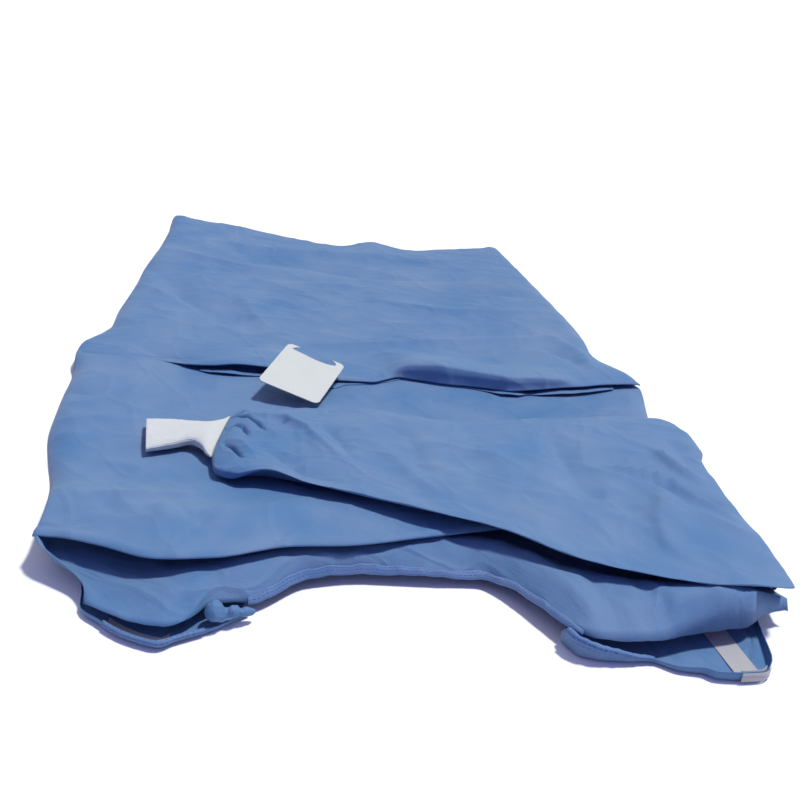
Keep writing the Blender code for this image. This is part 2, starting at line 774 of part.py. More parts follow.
def card_underside(x, y):
    # Height of the card's lower face over one place in plan.
    place = card_place()
    normal = place.to_3x3() @ Vector((0.0, 0.0, 1.0))
    on_face = place.translation - normal * CARD_THICK / 2
    return on_face.z - (normal.x * (x - on_face.x) + normal.y * (y - on_face.y)) / normal.z


def build_belt(name, table, front_tree):
    # Folded strip laid on the front inside the pleat, its near edge along the route.
    route = columns(table)
    length = route["x"][-1] - route["x"][0]
    stations = np.linspace(route["x"][0], route["x"][-1], int(length / BELT_STEP) + 1)
    rows = []
    for share in (1.0, 0.5, 0.0):
        row = []
        for x in stations:
            y = follow(route["x"], route["y"], x) + BELT_WIDTH * (1 - share)
            face = face_below(front_tree, x, y, front_height(x, y) + BELT_PROBE)
            lift = follow(route["x"], route["lift"], x)
            held = follow(route["x"], route["card"], x)
            lying = face + SEAM_GAP + WALL + lift
            row.append(Vector((x, y, lying + (card_underside(x, y) - SEAM_GAP - lying) * held)))
        rows.append(row)
    return grid_sheet(name, rows, WALL, CLOTH_BLUE)


def build_neck_binding(sheet):
    # Strip over the cut edge of the front's neckline, made from the front's own points.
    picked = [column for column in sheet if NECKLINE[0] < column[-1].x < NECKLINE[1]]
    edge = [column[-1] for column in picked]
    inside = [(column[-2] - column[-1]).normalized() for column in picked]
    out = edge_normals(edge)
    over = SEAM_GAP + BINDING_WALL
    rows = [[], [], [], []]
    for i, point in enumerate(edge):
        top = point + Vector((0.0, 0.0, over))
        rows[0].append(top + inside[i] * BINDING_WIDTH)
        rows[1].append(top)
        rows[2].append(top + out[i] * over)
        rows[3].append(point + out[i] * over - Vector((0.0, 0.0, WALL * 2)))
    return grid_sheet("neck_binding_front", rows, BINDING_WALL, CLOTH_BLUE)


def build_band_binding(name, table, reach):
    # Strip over the top edge of a turned-up neck band and down its outer face.
    feet, rises = near_edge(table)
    out = edge_normals(feet)
    lean = BAND_PROFILE[-1][0]
    over = SEAM_GAP + BINDING_WALL
    rows = [[], [], []]
    for foot, rise, normal in zip(feet, rises, out):
        if reach[0] < foot.x < reach[1]:
            rows[0].append(foot + normal * (lean + over) + Vector((0.0, 0.0, rise * BINDING_DROP)))
            rows[1].append(foot + normal * (lean + over) + Vector((0.0, 0.0, rise + over)))
            rows[2].append(foot + normal * (lean - WALL) + Vector((0.0, 0.0, rise + over)))
    return grid_sheet(name, rows, BINDING_WALL, CLOTH_BLUE)


def build_fastener(name, table):
    strip = columns(table)
    top = WALL + SEAM_GAP + FASTENER_WALL
    rows = []
    for share in (1.0, 0.5, 0.0):
        row = []
        for x in np.linspace(strip["x"][0], strip["x"][-1], FASTENER_COLUMNS):
            far = follow(strip["x"], strip["far"], x)
            near = follow(strip["x"], strip["near"], x)
            row.append(Vector((x, far + (near - far) * share, top)))
        rows.append(row)
    return grid_sheet(name, rows, FASTENER_WALL, PATCH_WHITE, roughness=0.9)


def build_neck_tie():
    # Rolled end of the tie, a ball that thins to a waist.
    shape = bmesh.new()
    bmesh.ops.create_uvsphere(shape, u_segments=16, v_segments=12, radius=1.0)
    bmesh.ops.rotate(shape, verts=shape.verts, matrix=Matrix.Rotation(math.pi / 2, 3, "Y"))
    thick = columns(NECK_TIE)
    for vert in shape.verts:
        share = follow(thick["along"], thick["thick"], vert.co.x)
        vert.co.y *= share
        vert.co.z *= share
    bmesh.ops.scale(shape, verts=shape.verts, vec=NECK_TIE_SIZE)
    bmesh.ops.translate(shape, verts=shape.verts, vec=NECK_TIE_CENTRE)
    bmesh.ops.recalc_face_normals(shape, faces=shape.faces)
    mesh = bpy.data.meshes.new("neck_tie")
    shape.to_mesh(mesh)
    shape.free()
    mesh.shade_smooth()
    return add_object("neck_tie", mesh, CLOTH_BLUE)


def build_card():
    shape = bmesh.new()
    half = CARD_LENGTH / 2
    bmesh.ops.create_cube(shape, size=1.0)
    bmesh.ops.scale(shape, verts=shape.verts, vec=(CARD_WIDTH, CARD_LENGTH, CARD_THICK))
    corners = [edge for edge in shape.edges if abs(edge.verts[0].co.z - edge.verts[1].co.z) > 0.0001]
    bmesh.ops.bevel(
        shape, geom=corners, offset=CARD_CORNER, offset_type="OFFSET", segments=4, profile=0.5, affect="EDGES"
    )
    mesh = bpy.data.meshes.new("belt_card")
    shape.to_mesh(mesh)
    shape.free()
    card = add_object("belt_card", mesh, CARD_WHITE, 0.6)

    # Crescent notch along the far edge, which leaves a hook at each end
    notch = bmesh.new()
    bmesh.ops.create_cone(
        notch, cap_ends=True, segments=40, radius1=NOTCH_RADIUS, radius2=NOTCH_RADIUS, depth=0.02
    )
    bmesh.ops.translate(notch, verts=notch.verts, vec=(0.0, half + NOTCH_OFFSET, 0.0))
    cut_mesh = bpy.data.meshes.new("notch_cutter")
    notch.to_mesh(cut_mesh)
    notch.free()
    cutter = bpy.data.objects.new("notch_cutter", cut_mesh)
    bpy.data.collections[COLLECTION + "_cutters"].objects.link(cutter)
    cutter.hide_render = True
    cutter.display_type = "WIRE"
    cut = card.modifiers.new("notch", "BOOLEAN")
    cut.object = cutter
    cut.operation = "DIFFERENCE"
    cut.solver = "EXACT"
    for piece in (card, cutter):
        piece.matrix_world = card_place()
    return card


def main():
    for leftover in list(bpy.data.objects):
        bpy.data.objects.remove(leftover, do_unlink=True)
    for name in (COLLECTION, COLLECTION + "_cutters"):
        made = bpy.data.collections.new(name)
        bpy.context.scene.collection.children.link(made)
    front, sheet = build_front()
    back_panel("back_left", BACK_LEFT_NEAR, "left")
    back_panel("back_right", BACK_RIGHT_NEAR, "right")
    front_tree = BVHTree.FromObject(front, bpy.context.evaluated_depsgraph_get())
    build_sleeve_right(front_tree)
    low = HIDDEN_SLEEVE_LOW + SEAM_GAP
    tube("sleeve_left", HIDDEN_SLEEVE, low, low + HIDDEN_SLEEVE_HEIGHT, HIDDEN_RING, WALL, CLOTH_BLUE)
    tube("cuff_right", CUFF, 0, 0, CUFF_RING, KNIT_WALL, KNIT_WHITE, flip=True)
    tube("cuff_left", HIDDEN_CUFF, 0, 0, HIDDEN_RING, KNIT_WALL, KNIT_WHITE)
    build_belt("belt_left", BELT_LEFT, front_tree)
    build_belt("belt_right", BELT_RIGHT, front_tree)
    build_neck_binding(sheet)
    build_band_binding("neck_binding_left", BACK_LEFT_NEAR, BAND_LEFT)
    build_band_binding("neck_binding_right", BACK_RIGHT_NEAR, BAND_RIGHT)
    build_fastener("fastener_left", FASTENER_LEFT)
    build_fastener("fastener_right", FASTENER_RIGHT)
    build_neck_tie()
    build_card()


main()
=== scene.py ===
import math

import bmesh
import bpy
import numpy as np
from mathutils import Euler, Matrix, Vector, noise
from mathutils.bvhtree import BVHTree


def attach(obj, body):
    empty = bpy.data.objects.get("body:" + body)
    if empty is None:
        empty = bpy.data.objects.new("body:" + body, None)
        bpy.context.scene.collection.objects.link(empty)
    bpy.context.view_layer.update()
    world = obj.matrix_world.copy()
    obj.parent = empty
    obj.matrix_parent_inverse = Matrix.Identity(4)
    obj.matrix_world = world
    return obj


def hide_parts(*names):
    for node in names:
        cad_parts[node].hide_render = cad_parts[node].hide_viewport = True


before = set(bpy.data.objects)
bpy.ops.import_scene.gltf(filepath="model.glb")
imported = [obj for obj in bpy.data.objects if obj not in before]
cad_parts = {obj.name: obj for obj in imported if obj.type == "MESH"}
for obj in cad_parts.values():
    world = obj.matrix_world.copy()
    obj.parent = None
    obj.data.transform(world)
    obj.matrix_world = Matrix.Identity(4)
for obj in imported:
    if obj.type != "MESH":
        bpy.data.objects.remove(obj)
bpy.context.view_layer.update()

# Surgical gown laid face up, neck towards the viewer. Metres, +Y towards the hem, +Z up.
# Every cloth piece is a fine grid on its solid's outer face, with its creases laid on one by one.

clothWall = 0.0005      # nonwoven, a little thicker than the real 0.3 mm so that edges catch light
gridStep = 0.0049       # spacing of the front's points


# reading the tables and shaping sheets

def table(names, *rows):
    return {name: np.array([row[i] for row in rows], float) for i, name in enumerate(names.split())}


def through(keys, values, at):
    # smooth curve through a table's rows, level where the values turn back
    if keys[0] > keys[-1]:
        keys, values = keys[::-1], values[::-1]
    steps = np.diff(keys)
    slopes = np.diff(values) / steps
    tangents = np.zeros(len(keys))
    product = slopes[:-1] * slopes[1:]
    same = product > 0
    tangents[1:-1][same] = 2 * product[same] / (slopes[:-1] + slopes[1:])[same]
    tangents[0], tangents[-1] = slopes[0], slopes[-1]
    at = np.clip(at, keys[0], keys[-1])
    i = np.clip(np.searchsorted(keys, at, side="right") - 1, 0, len(keys) - 2)
    u = (at - keys[i]) / steps[i]
    low = (1 + 2 * u) * (1 - u) ** 2 * values[i] + u * (1 - u) ** 2 * steps[i] * tangents[i]
    return low + u * u * (3 - 2 * u) * values[i + 1] - u * u * (1 - u) * steps[i] * tangents[i + 1]


def ease(low, high, value):
    share = np.clip((value - low) / (high - low), 0.0, 1.0)
    return share * share * (3 - 2 * share)


def refine(points, step, least=1):
    # smooth curve through the rows of points (first axis), with a new row about every step,
    # which is one length or one for each gap
    gaps = np.linalg.norm(np.diff(points, axis=0), axis=-1).mean(axis=1)
    wide = gaps[:, None, None]
    slopes = np.diff(points, axis=0) / wide
    tangents = np.empty_like(points)
    tangents[1:-1] = (slopes[:-1] * wide[1:] + slopes[1:] * wide[:-1]) / (wide[1:] + wide[:-1])
    tangents[0], tangents[-1] = slopes[0], slopes[-1]
    made = []
    steps = np.broadcast_to(step, gaps.shape)
    for i, gap in enumerate(gaps):
        parts = max(least, int(round(gap / steps[i])))
        for k in range(parts):
            u = k / parts
            made.append(
                (1 + 2 * u) * (1 - u) ** 2 * points[i] + u * (1 - u) ** 2 * gap * tangents[i]
                + u * u * (3 - 2 * u) * points[i + 1] - u * u * (1 - u) * gap * tangents[i + 1]
            )
    made.append(points[-1])
    return np.array(made)


def outward(points):
    # unit normals of a grid of points
    down = np.gradient(points, axis=0)
    across = np.gradient(points, axis=1)
    normals = np.cross(across, down)
    return normals / np.maximum(np.linalg.norm(normals, axis=-1, keepdims=True), 1e-9)


def flatPlaces(points):
    # the cloth's own coordinates in metres: along its rows and across them
    across = np.linalg.norm(np.diff(points, axis=1), axis=-1).mean(axis=0)
    down = np.linalg.norm(np.diff(points, axis=0), axis=-1).mean(axis=1)
    u = np.concatenate([[0], np.cumsum(across)])
    v = np.concatenate([[0], np.cumsum(down)])
    return np.stack(np.meshgrid(u, v), axis=-1)


def crumple(points, size, seed, sharp=0.6):
    # uneven rumples: soft rolls with some sharper ridges between them, about -1 to 1
    rows, across = points.shape[:2]
    height = np.empty(rows * across)
    shift = Vector((seed * 3.7, seed * 1.9, seed * 5.3))
    for k, (x, y, z) in enumerate(points.reshape(-1, 3)):
        place = Vector((x / size, y / size, z / size)) + shift
        soft = noise.noise(place) + 0.5 * noise.noise(place * 2.1)
        ridge = 1 - 2 * abs(noise.noise(place * 1.3 + Vector((9, 4, 2))))
        height[k] = soft * (1 - sharp) + (ridge ** 3 if ridge > 0 else 0) * sharp
    return height.reshape(rows, across)


def crease(points, route, width, height, side=0.0):
    # height of one crease along a route in plan: a ridge, or a trough where height is below 0;
    # side gives one flank a longer slope than the other
    route = np.array(route, float)
    x, y = points[..., 0], points[..., 1]
    best = np.full(x.shape, 9.0)
    along = np.zeros(x.shape)
    across = np.zeros(x.shape)
    lengths = np.linalg.norm(np.diff(route, axis=0), axis=1)
    starts = np.concatenate([[0], np.cumsum(lengths)])
    for i in range(len(lengths)):
        run = (route[i + 1] - route[i]) / lengths[i]
        reach = np.clip((x - route[i, 0]) * run[0] + (y - route[i, 1]) * run[1], 0, lengths[i])
        dx = x - route[i, 0] - run[0] * reach
        dy = y - route[i, 1] - run[1] * reach
        away = np.hypot(dx, dy)
        nearer = away < best
        best = np.where(nearer, away, best)
        along = np.where(nearer, starts[i] + reach, along)
        across = np.where(nearer, dx * -run[1] + dy * run[0], across)
    share = along / starts[-1]
    taper = np.clip(np.sin(np.pi * np.clip(share, 0.02, 0.98)), 0, 1) ** 0.6
    wide = width * np.where(across * side > 0, 1 + 2.2 * abs(side), 1.0)
    return height * taper * np.exp(-((best / wide) ** 1.25))


def addCreases(points, creases, strength=1.9):
    # all creases of one piece, as heights over its points
    total = np.zeros(points.shape[:2])
    for route, width, height, side in creases:
        total += crease(points, route, width, height, side)
    return total * strength


def addObject(name, mesh):
    made = bpy.data.objects.new(name, mesh)
    bpy.context.scene.collection.objects.link(made)
    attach(made, "root")
    return made


def clothSheet(name, points, material, wall=clothWall, tube=False, flat=None):
    # open or tubular sheet through a grid of points, thickened away from its outer face
    rows, across = points.shape[:2]
    flat = flatPlaces(points) if flat is None else flat
    shape = bmesh.new()
    bmesh.ops.create_grid(shape, x_segments=across - 1, y_segments=rows - 1, size=1.0)
    mesh = bpy.data.meshes.new(name)
    shape.to_mesh(mesh)
    shape.free()
    mesh.vertices.foreach_set("co", points.reshape(-1))
    corner = np.empty(len(mesh.loops), int)
    mesh.loops.foreach_get("vertex_index", corner)
    mesh.uv_layers.new(name="cloth").uv.foreach_set("vector", flat.reshape(-1, 2)[corner].reshape(-1))
    if tube:
        shape = bmesh.new()
        shape.from_mesh(mesh)
        bmesh.ops.remove_doubles(shape, verts=shape.verts, dist=0.00002)
        shape.to_mesh(mesh)
        shape.free()
    mesh.update()
    mesh.shade_smooth()
    mesh.materials.append(material)
    made = addObject(name, mesh)
    thick = made.modifiers.new("wall", "SOLIDIFY")
    thick.thickness = wall
    thick.offset = -1.0
    return made


def heightTree(made):
    return BVHTree.FromObject(made, bpy.context.evaluated_depsgraph_get())


def faceBelow(tree, x, y, start=0.2, missing=0.0):
    hit = tree.ray_cast(Vector((x, y, start)), Vector((0, 0, -1)))[0]
    return hit.z if hit else missing


# shader maths

class Sock:
    # a socket that takes part in Python expressions
    def __init__(self, tree, socket):
        self.tree, self.socket = tree, socket

    def math(self, kind, *others):
        made = self.tree.nodes.new("ShaderNodeMath")
        made.operation = kind
        for i, other in enumerate((self, *others)):
            if isinstance(other, Sock):
                self.tree.links.new(other.socket, made.inputs[i])
            else:
                made.inputs[i].default_value = other
        return Sock(self.tree, made.outputs[0])

    def flip(self, kind, other):
        # the number first, the socket second
        made = self.tree.nodes.new("ShaderNodeMath")
        made.operation = kind
        made.inputs[0].default_value = other
        self.tree.links.new(self.socket, made.inputs[1])
        return Sock(self.tree, made.outputs[0])

    def __add__(self, other): return self.math("ADD", other)
    def __sub__(self, other): return self.math("SUBTRACT", other)
    def __mul__(self, other): return self.math("MULTIPLY", other)
    def __truediv__(self, other): return self.math("DIVIDE", other)
    def __pow__(self, other): return self.math("POWER", other)
    def __radd__(self, other): return self.math("ADD", other)
    def __rmul__(self, other): return self.math("MULTIPLY", other)
    def __rsub__(self, other): return self.flip("SUBTRACT", other)
    def __abs__(self): return self.math("ABSOLUTE")
    def clamp(self): return self.math("MINIMUM", 1.0).math("MAXIMUM", 0.0)
    def sine(self): return self.math("SINE")
    def above(self, edge): return self.math("GREATER_THAN", edge)


class Finish:
    # one material with its node tree
    def __init__(self, name, roughness=0.7, sheen=0.0, sheenRoughness=0.4):
        self.material = bpy.data.materials.new(name)
        self.material.use_nodes = True
        self.tree = self.material.node_tree
        self.shader = self.tree.nodes["Principled BSDF"]
        self.shader.inputs["Roughness"].default_value = roughness
        self.shader.inputs["Sheen Weight"].default_value = sheen
        self.shader.inputs["Sheen Roughness"].default_value = sheenRoughness
        self.shader.inputs["Specular IOR Level"].default_value = 0.3

    def node(self, kind, settings=None, values=None, out=0):
        made = self.tree.nodes.new(kind)
        for name, value in (settings or {}).items():
            if name == "stops":
                ramp = made.color_ramp
                while len(ramp.elements) < len(value):
                    ramp.elements.new(0.5)
                for stop, (place, colour) in zip(ramp.elements, value):
                    stop.position = place
                    stop.color = (*colour, 1.0)
            else:
                setattr(made, name, value)
        for name, value in (values or {}).items():
            if isinstance(value, Sock):
                self.tree.links.new(value.socket, made.inputs[name])
            else:
                made.inputs[name].default_value = value
        return Sock(self.tree, made.outputs[out])

    def places(self, kind="UV"):
        return self.node("ShaderNodeTexCoord", out=kind)

    def cloudy(self, places, scale, detail=3.0, roughness=0.5, distortion=0.0):
        return self.node("ShaderNodeTexNoise", values={
            "Vector": places, "Scale": scale, "Detail": detail, "Roughness": roughness,
            "Distortion": distortion,
        })

    def mixed(self, share, low, high):
        made = self.tree.nodes.new("ShaderNodeMix")
        made.data_type = "RGBA"
        self.tree.links.new(share.socket, made.inputs["Factor"])
        for name, value in (("A", low), ("B", high)):
            socket = [s for s in made.inputs if s.name == name and s.type == "RGBA"][0]
            if isinstance(value, Sock):
                self.tree.links.new(value.socket, socket)
            else:
                socket.default_value = (*value, 1.0)
        return Sock(self.tree, [s for s in made.outputs if s.type == "RGBA"][0])

    def bump(self, height, distance, strength=1.0):
        normal = self.node("ShaderNodeBump", values={
            "Height": height, "Distance": distance, "Strength": strength,
        })
        self.tree.links.new(normal.socket, self.shader.inputs["Normal"])

    def link(self, name, value):
        self.tree.links.new(value.socket, self.shader.inputs[name])


def nonwovenCloth(name, deep, pale, stitches=()):
    # blue spunbond: cloudy fibres, a fine grid of bond dots and faint pressed wrinkles;
    # stitches are rows of small dashes at some distances along V
    cloth = Finish(name, roughness=0.60, sheen=0.03, sheenRoughness=0.5)
    flat = cloth.places("UV")
    fibres = cloth.cloudy(flat, 420.0, detail=4.0, roughness=0.65)
    clouds = cloth.cloudy(flat, 55.0, detail=4.0, roughness=0.6, distortion=0.6)
    broad = cloth.cloudy(flat, 7.0, detail=3.0, roughness=0.55, distortion=0.4)
    patches = cloth.cloudy(flat, 16.0, detail=2.0, roughness=0.5, distortion=0.2)
    across = cloth.node("ShaderNodeSeparateXYZ", values={"Vector": flat}, out="X")
    along = cloth.node("ShaderNodeSeparateXYZ", values={"Vector": flat}, out="Y")
    dotWave = 2 * math.pi / 0.0016
    dots = ((across * dotWave).sine() * (along * dotWave).sine()).above(0.45)
    swirl = cloth.node("ShaderNodeTexNoise",
                       values={"Vector": flat, "Scale": 9.0, "Detail": 2.0}, out="Color")
    bent = cloth.node("ShaderNodeVectorMath", {"operation": "SCALE"}, {0: swirl, "Scale": 0.06})
    moved = cloth.node("ShaderNodeVectorMath", {"operation": "ADD"}, {0: flat, 1: bent})
    cells = cloth.node("ShaderNodeTexVoronoi", {"feature": "DISTANCE_TO_EDGE"},
                       {"Vector": moved, "Scale": 16.0}, out="Distance")
    pressed = (1.0 - cells * 9.0).clamp()
    tone = (broad - 0.5) * 1.7 + (patches - 0.5) * 1.2 + clouds * 0.30 + fibres * 0.20 + 0.22
    tone = (tone + pressed * 0.05).clamp()
    colour = cloth.mixed(tone, deep, pale)
    colour = cloth.mixed(dots * 0.10, colour, (0.04, 0.10, 0.26))
    height = fibres * 0.35 + clouds * 0.9 + broad * 1.0 - dots * 0.25 + pressed * 0.9
    for place in stitches:
        near = (1.0 - abs(along - place) * (1 / 0.0006)).clamp()
        dash = (across * (2 * math.pi / 0.0042)).sine().above(-0.25) * near
        colour = cloth.mixed(dash * 0.4, colour, (0.035, 0.085, 0.26))
        height = height - dash * 1.6
    cloth.link("Base Color", colour)
    cloth.link("Roughness", (0.60 + clouds * 0.16 - dots * 0.10).clamp())
    cloth.bump(height, 0.0013, 0.6)
    return cloth.material


def knitCuff(name="knitCuff"):
    # white rib knit: upright ribs crossed by small stitches
    knit = Finish(name, roughness=0.85, sheen=0.35, sheenRoughness=0.6)
    flat = knit.places("UV")
    across = knit.node("ShaderNodeSeparateXYZ", values={"Vector": flat}, out="X")
    along = knit.node("ShaderNodeSeparateXYZ", values={"Vector": flat}, out="Y")
    soft = knit.cloudy(flat, 60.0, detail=3.0)
    ribs = (across * (2 * math.pi / 0.0022) + soft * 1.2).sine()
    loops = (along * (2 * math.pi / 0.0016) + abs(ribs) * 1.5).sine()
    tone = (ribs * 0.22 + soft * 0.6 + loops * 0.08 + 0.25).clamp()
    knit.link("Base Color", knit.mixed(tone, (0.50, 0.53, 0.50), (0.64, 0.67, 0.62)))
    knit.bump(ribs * 0.7 + loops * 0.3 + soft * 0.6, 0.0004, 0.5)
    return knit.material


def cardBoard(name="cardBoard"):
    # pale uncoated card with a faint fibre and cloudy tone
    card = Finish(name, roughness=0.55)
    spot = card.places("Object")
    fibre = card.cloudy(spot, 900.0, detail=3.0, roughness=0.6)
    cloud = card.cloudy(spot, 40.0, detail=3.0)
    tone = (fibre * 0.5 + cloud * 0.5).clamp()
    card.link("Base Color", card.mixed(tone, (0.49, 0.52, 0.47), (0.59, 0.62, 0.56)))
    card.link("Roughness", 0.48 + fibre * 0.15)
    card.bump(fibre * 0.5 + cloud, 0.0003, 0.5)
    return card.material


def fastenerTape(name="fastenerTape"):
    # white napped loop tape
    tape = Finish(name, roughness=0.9, sheen=0.4, sheenRoughness=0.6)
    flat = tape.places("UV")
    nap = tape.cloudy(flat, 700.0, detail=4.0, roughness=0.7)
    cloud = tape.cloudy(flat, 80.0, detail=2.0)
    tone = (nap * 0.6 + cloud * 0.4).clamp()
    tape.link("Base Color", tape.mixed(tone, (0.30, 0.31, 0.31), (0.47, 0.47, 0.45)))
    tape.bump(nap, 0.0008, 0.7)
    return tape.material


print("materials")
cloth = nonwovenCloth("nonwovenCloth", (0.066, 0.176, 0.345), (0.140, 0.232, 0.376))
edging = nonwovenCloth("stitchedEdging", (0.085, 0.185, 0.370), (0.160, 0.245, 0.420), (0.0022, 0.0052))
knit = knitCuff()
tape = fastenerTape()
board = cardBoard()


# front panel: hem, waist pleat, chest fold and upper chest in one sheet

frontCut = dict(
    width=0.62,
    flat=(0.70, 1.26),
    edgeZ=0.0015,
    sideRise=table("inset rise", (0, 0), (0.003, 0.42), (0.010, 0.80), (0.024, 1.0), (0.030, 1.0)),
    foldShare=0.90,
    foldTurn=0.0012,
    skirtRows=10,
    chestRows=8,
    upperRows=7,
    pleatApproach=0.105,
    upperZ=0.0135,
    upperLeft=-0.2336,
    upperRight=0.3335,
    rim=table(
        "y x z",
        (-0.4700, -0.2866, 0.0115), (-0.5000, -0.2866, 0.0200), (-0.5100, -0.2868, 0.0268),
        (-0.5184, -0.2863, 0.0290), (-0.5352, -0.2803, 0.0240), (-0.5492, -0.2676, 0.0180),
        (-0.5691, -0.2528, 0.0140), (-0.5789, -0.2336, 0.0100),
    ),
    rimInsets=(0.0035, 0.0120),
    sides=table(
        "y left right",
        (0.640, -0.352, 0.250), (0.560, -0.345, 0.266), (0.432, -0.342, 0.281), (0.298, -0.345, 0.297),
        (0.204, -0.342, 0.307), (0.088, -0.343, 0.316), (0.026, -0.340, 0.314), (-0.023, -0.348, 0.321),
        (-0.069, -0.355, 0.336), (-0.120, -0.351, 0.342), (-0.192, -0.346, 0.328),
        (-0.293, -0.335, 0.325),
        (-0.357, -0.317, 0.325), (-0.414, -0.300, 0.325), (-0.469, -0.290, 0.325),
        (-0.520, -0.286, 0.325),
    ),
    hem=table(
        "x y z",
        (-0.350, 0.626, 0.023), (-0.291, 0.602, 0.017), (-0.224, 0.590, 0.014), (-0.137, 0.556, 0.010),
        (-0.045, 0.524, 0.008), (0.020, 0.548, 0.013), (0.083, 0.528, 0.008), (0.150, 0.548, 0.010),
        (0.219, 0.562, 0.014), (0.262, 0.572, 0.020),
    ),
    pleat=table(
        "x lip depth open turn face rise",
        (-0.360, -0.094, 0.010, -0.0006, 0.0003, 0.010, 0.0),
        (-0.255, -0.098, 0.011, -0.0006, 0.0003, 0.010, 0.0),
        (-0.232, -0.105, 0.014, 0.0015, 0.0006, 0.010, 0.0),
        (-0.220, -0.112, 0.018, 0.0040, 0.0009, 0.010, 0.0),
        (-0.190, -0.117, 0.022, 0.0085, 0.0009, 0.010, 0.001),
        (-0.160, -0.113, 0.024, 0.0110, 0.0009, 0.010, 0.001),
        (-0.130, -0.112, 0.024, 0.0095, 0.0009, 0.010, 0.0),
        (-0.060, -0.124, 0.020, 0.0030, 0.0009, 0.010, 0.0),
        (0.000, -0.122, 0.020, 0.0026, 0.0009, 0.010, 0.0),
        (0.020, -0.110, 0.020, 0.0026, 0.0009, 0.008, 0.002),
        (0.036, -0.101, 0.024, 0.0026, 0.0009, 0.003, 0.009),
        (0.050, -0.1035, 0.030, 0.0026, 0.0009, 0.003, 0.0145),
        (0.066, -0.107, 0.034, 0.0026, 0.0009, 0.003, 0.0170),
        (0.090, -0.113, 0.038, 0.0026, 0.0009, 0.004, 0.0190),
        (0.121, -0.116, 0.034, 0.0030, 0.0009, 0.003, 0.0172),
        (0.150, -0.123, 0.032, 0.0042, 0.0009, 0.003, 0.0150),
        (0.168, -0.129, 0.032, 0.0052, 0.0009, 0.003, 0.0150),
        (0.200, -0.126, 0.026, 0.0066, 0.0009, 0.003, 0.0125),
        (0.230, -0.121, 0.024, 0.0076, 0.0009, 0.003, 0.0080),
        (0.260, -0.117, 0.022, 0.0078, 0.0009, 0.010, 0.001),
        (0.284, -0.109, 0.020, 0.0070, 0.0009, 0.010, 0.0),
        (0.310, -0.101, 0.018, 0.0055, 0.0009, 0.010, 0.0),
        (0.345, -0.092, 0.016, 0.0045, 0.0009, 0.010, 0.0),
    ),
    crest=table(
        "x y z",
        (-0.264, -0.5216, 0.0135), (-0.2294, -0.5368, 0.0140), (-0.190, -0.5555, 0.0195),
        (-0.155, -0.554, 0.0255),
        (-0.120, -0.542, 0.0290), (-0.085, -0.527, 0.0290), (-0.032, -0.516, 0.0265),
        (0.010, -0.502, 0.0245),
        (0.040, -0.490, 0.0250), (0.100, -0.504, 0.0280), (0.150, -0.5385, 0.0290),
        (0.185, -0.554, 0.0310),
        (0.215, -0.562, 0.0340), (0.262, -0.570, 0.0405), (0.290, -0.571, 0.0385),
        (0.310, -0.570, 0.0330),
        (0.335, -0.568, 0.0250),
    ),
    chest=table(
        "x lip top depth",
        (-0.2870, -0.5165, 0.0314, 0.034), (-0.2770, -0.5185, 0.0306, 0.036),
        (-0.2640, -0.5216, 0.0320, 0.040),
        (-0.2294, -0.5368, 0.0360, 0.048), (-0.1836, -0.5561, 0.0390, 0.050),
        (-0.1384, -0.5508, 0.0390, 0.050),
        (-0.0811, -0.5250, 0.0360, 0.044), (-0.0320, -0.5160, 0.0340, 0.042),
        (0.0360, -0.4920, 0.0310, 0.040),
        (0.1200, -0.4660, 0.0290, 0.036), (0.2200, -0.4500, 0.0285, 0.032),
        (0.3350, -0.4400, 0.0280, 0.030),
    ),
    neck=table(
        "x y z",
        (-0.2336, -0.5789, 0.0100), (-0.2150, -0.5920, 0.0115), (-0.1930, -0.6030, 0.0120),
        (-0.1710, -0.6075, 0.0120), (-0.1520, -0.5955, 0.0110), (-0.1420, -0.5820, 0.0110),
        (-0.1310, -0.5740, 0.0100), (-0.1050, -0.5660, 0.0090), (-0.0630, -0.5300, 0.0080),
        (-0.0120, -0.5200, 0.0080), (0.0450, -0.5200, 0.0080), (0.0800, -0.5190, 0.0090),
        (0.1000, -0.5330, 0.0115), (0.1209, -0.5620, 0.0150), (0.1370, -0.5875, 0.0165),
        (0.1465, -0.6020, 0.0168), (0.1618, -0.6080, 0.0165), (0.1820, -0.6080, 0.0160),
        (0.2020, -0.6065, 0.0155), (0.2435, -0.5930, 0.0155), (0.2844, -0.5827, 0.0155),
        (0.3083, -0.5651, 0.0150), (0.3300, -0.5548, 0.0150),
    ),
    height=table(
        "y middle side",
        (0.640, 0.009, 0.020), (0.480, 0.010, 0.019), (0.300, 0.012, 0.020), (0.120, 0.014, 0.021),
        (-0.040, 0.013, 0.020), (-0.200, 0.012, 0.016), (-0.330, 0.013, 0.015), (-0.420, 0.020, 0.019),
        (-0.500, 0.032, 0.028), (-0.600, 0.036, 0.032),
    ),
)

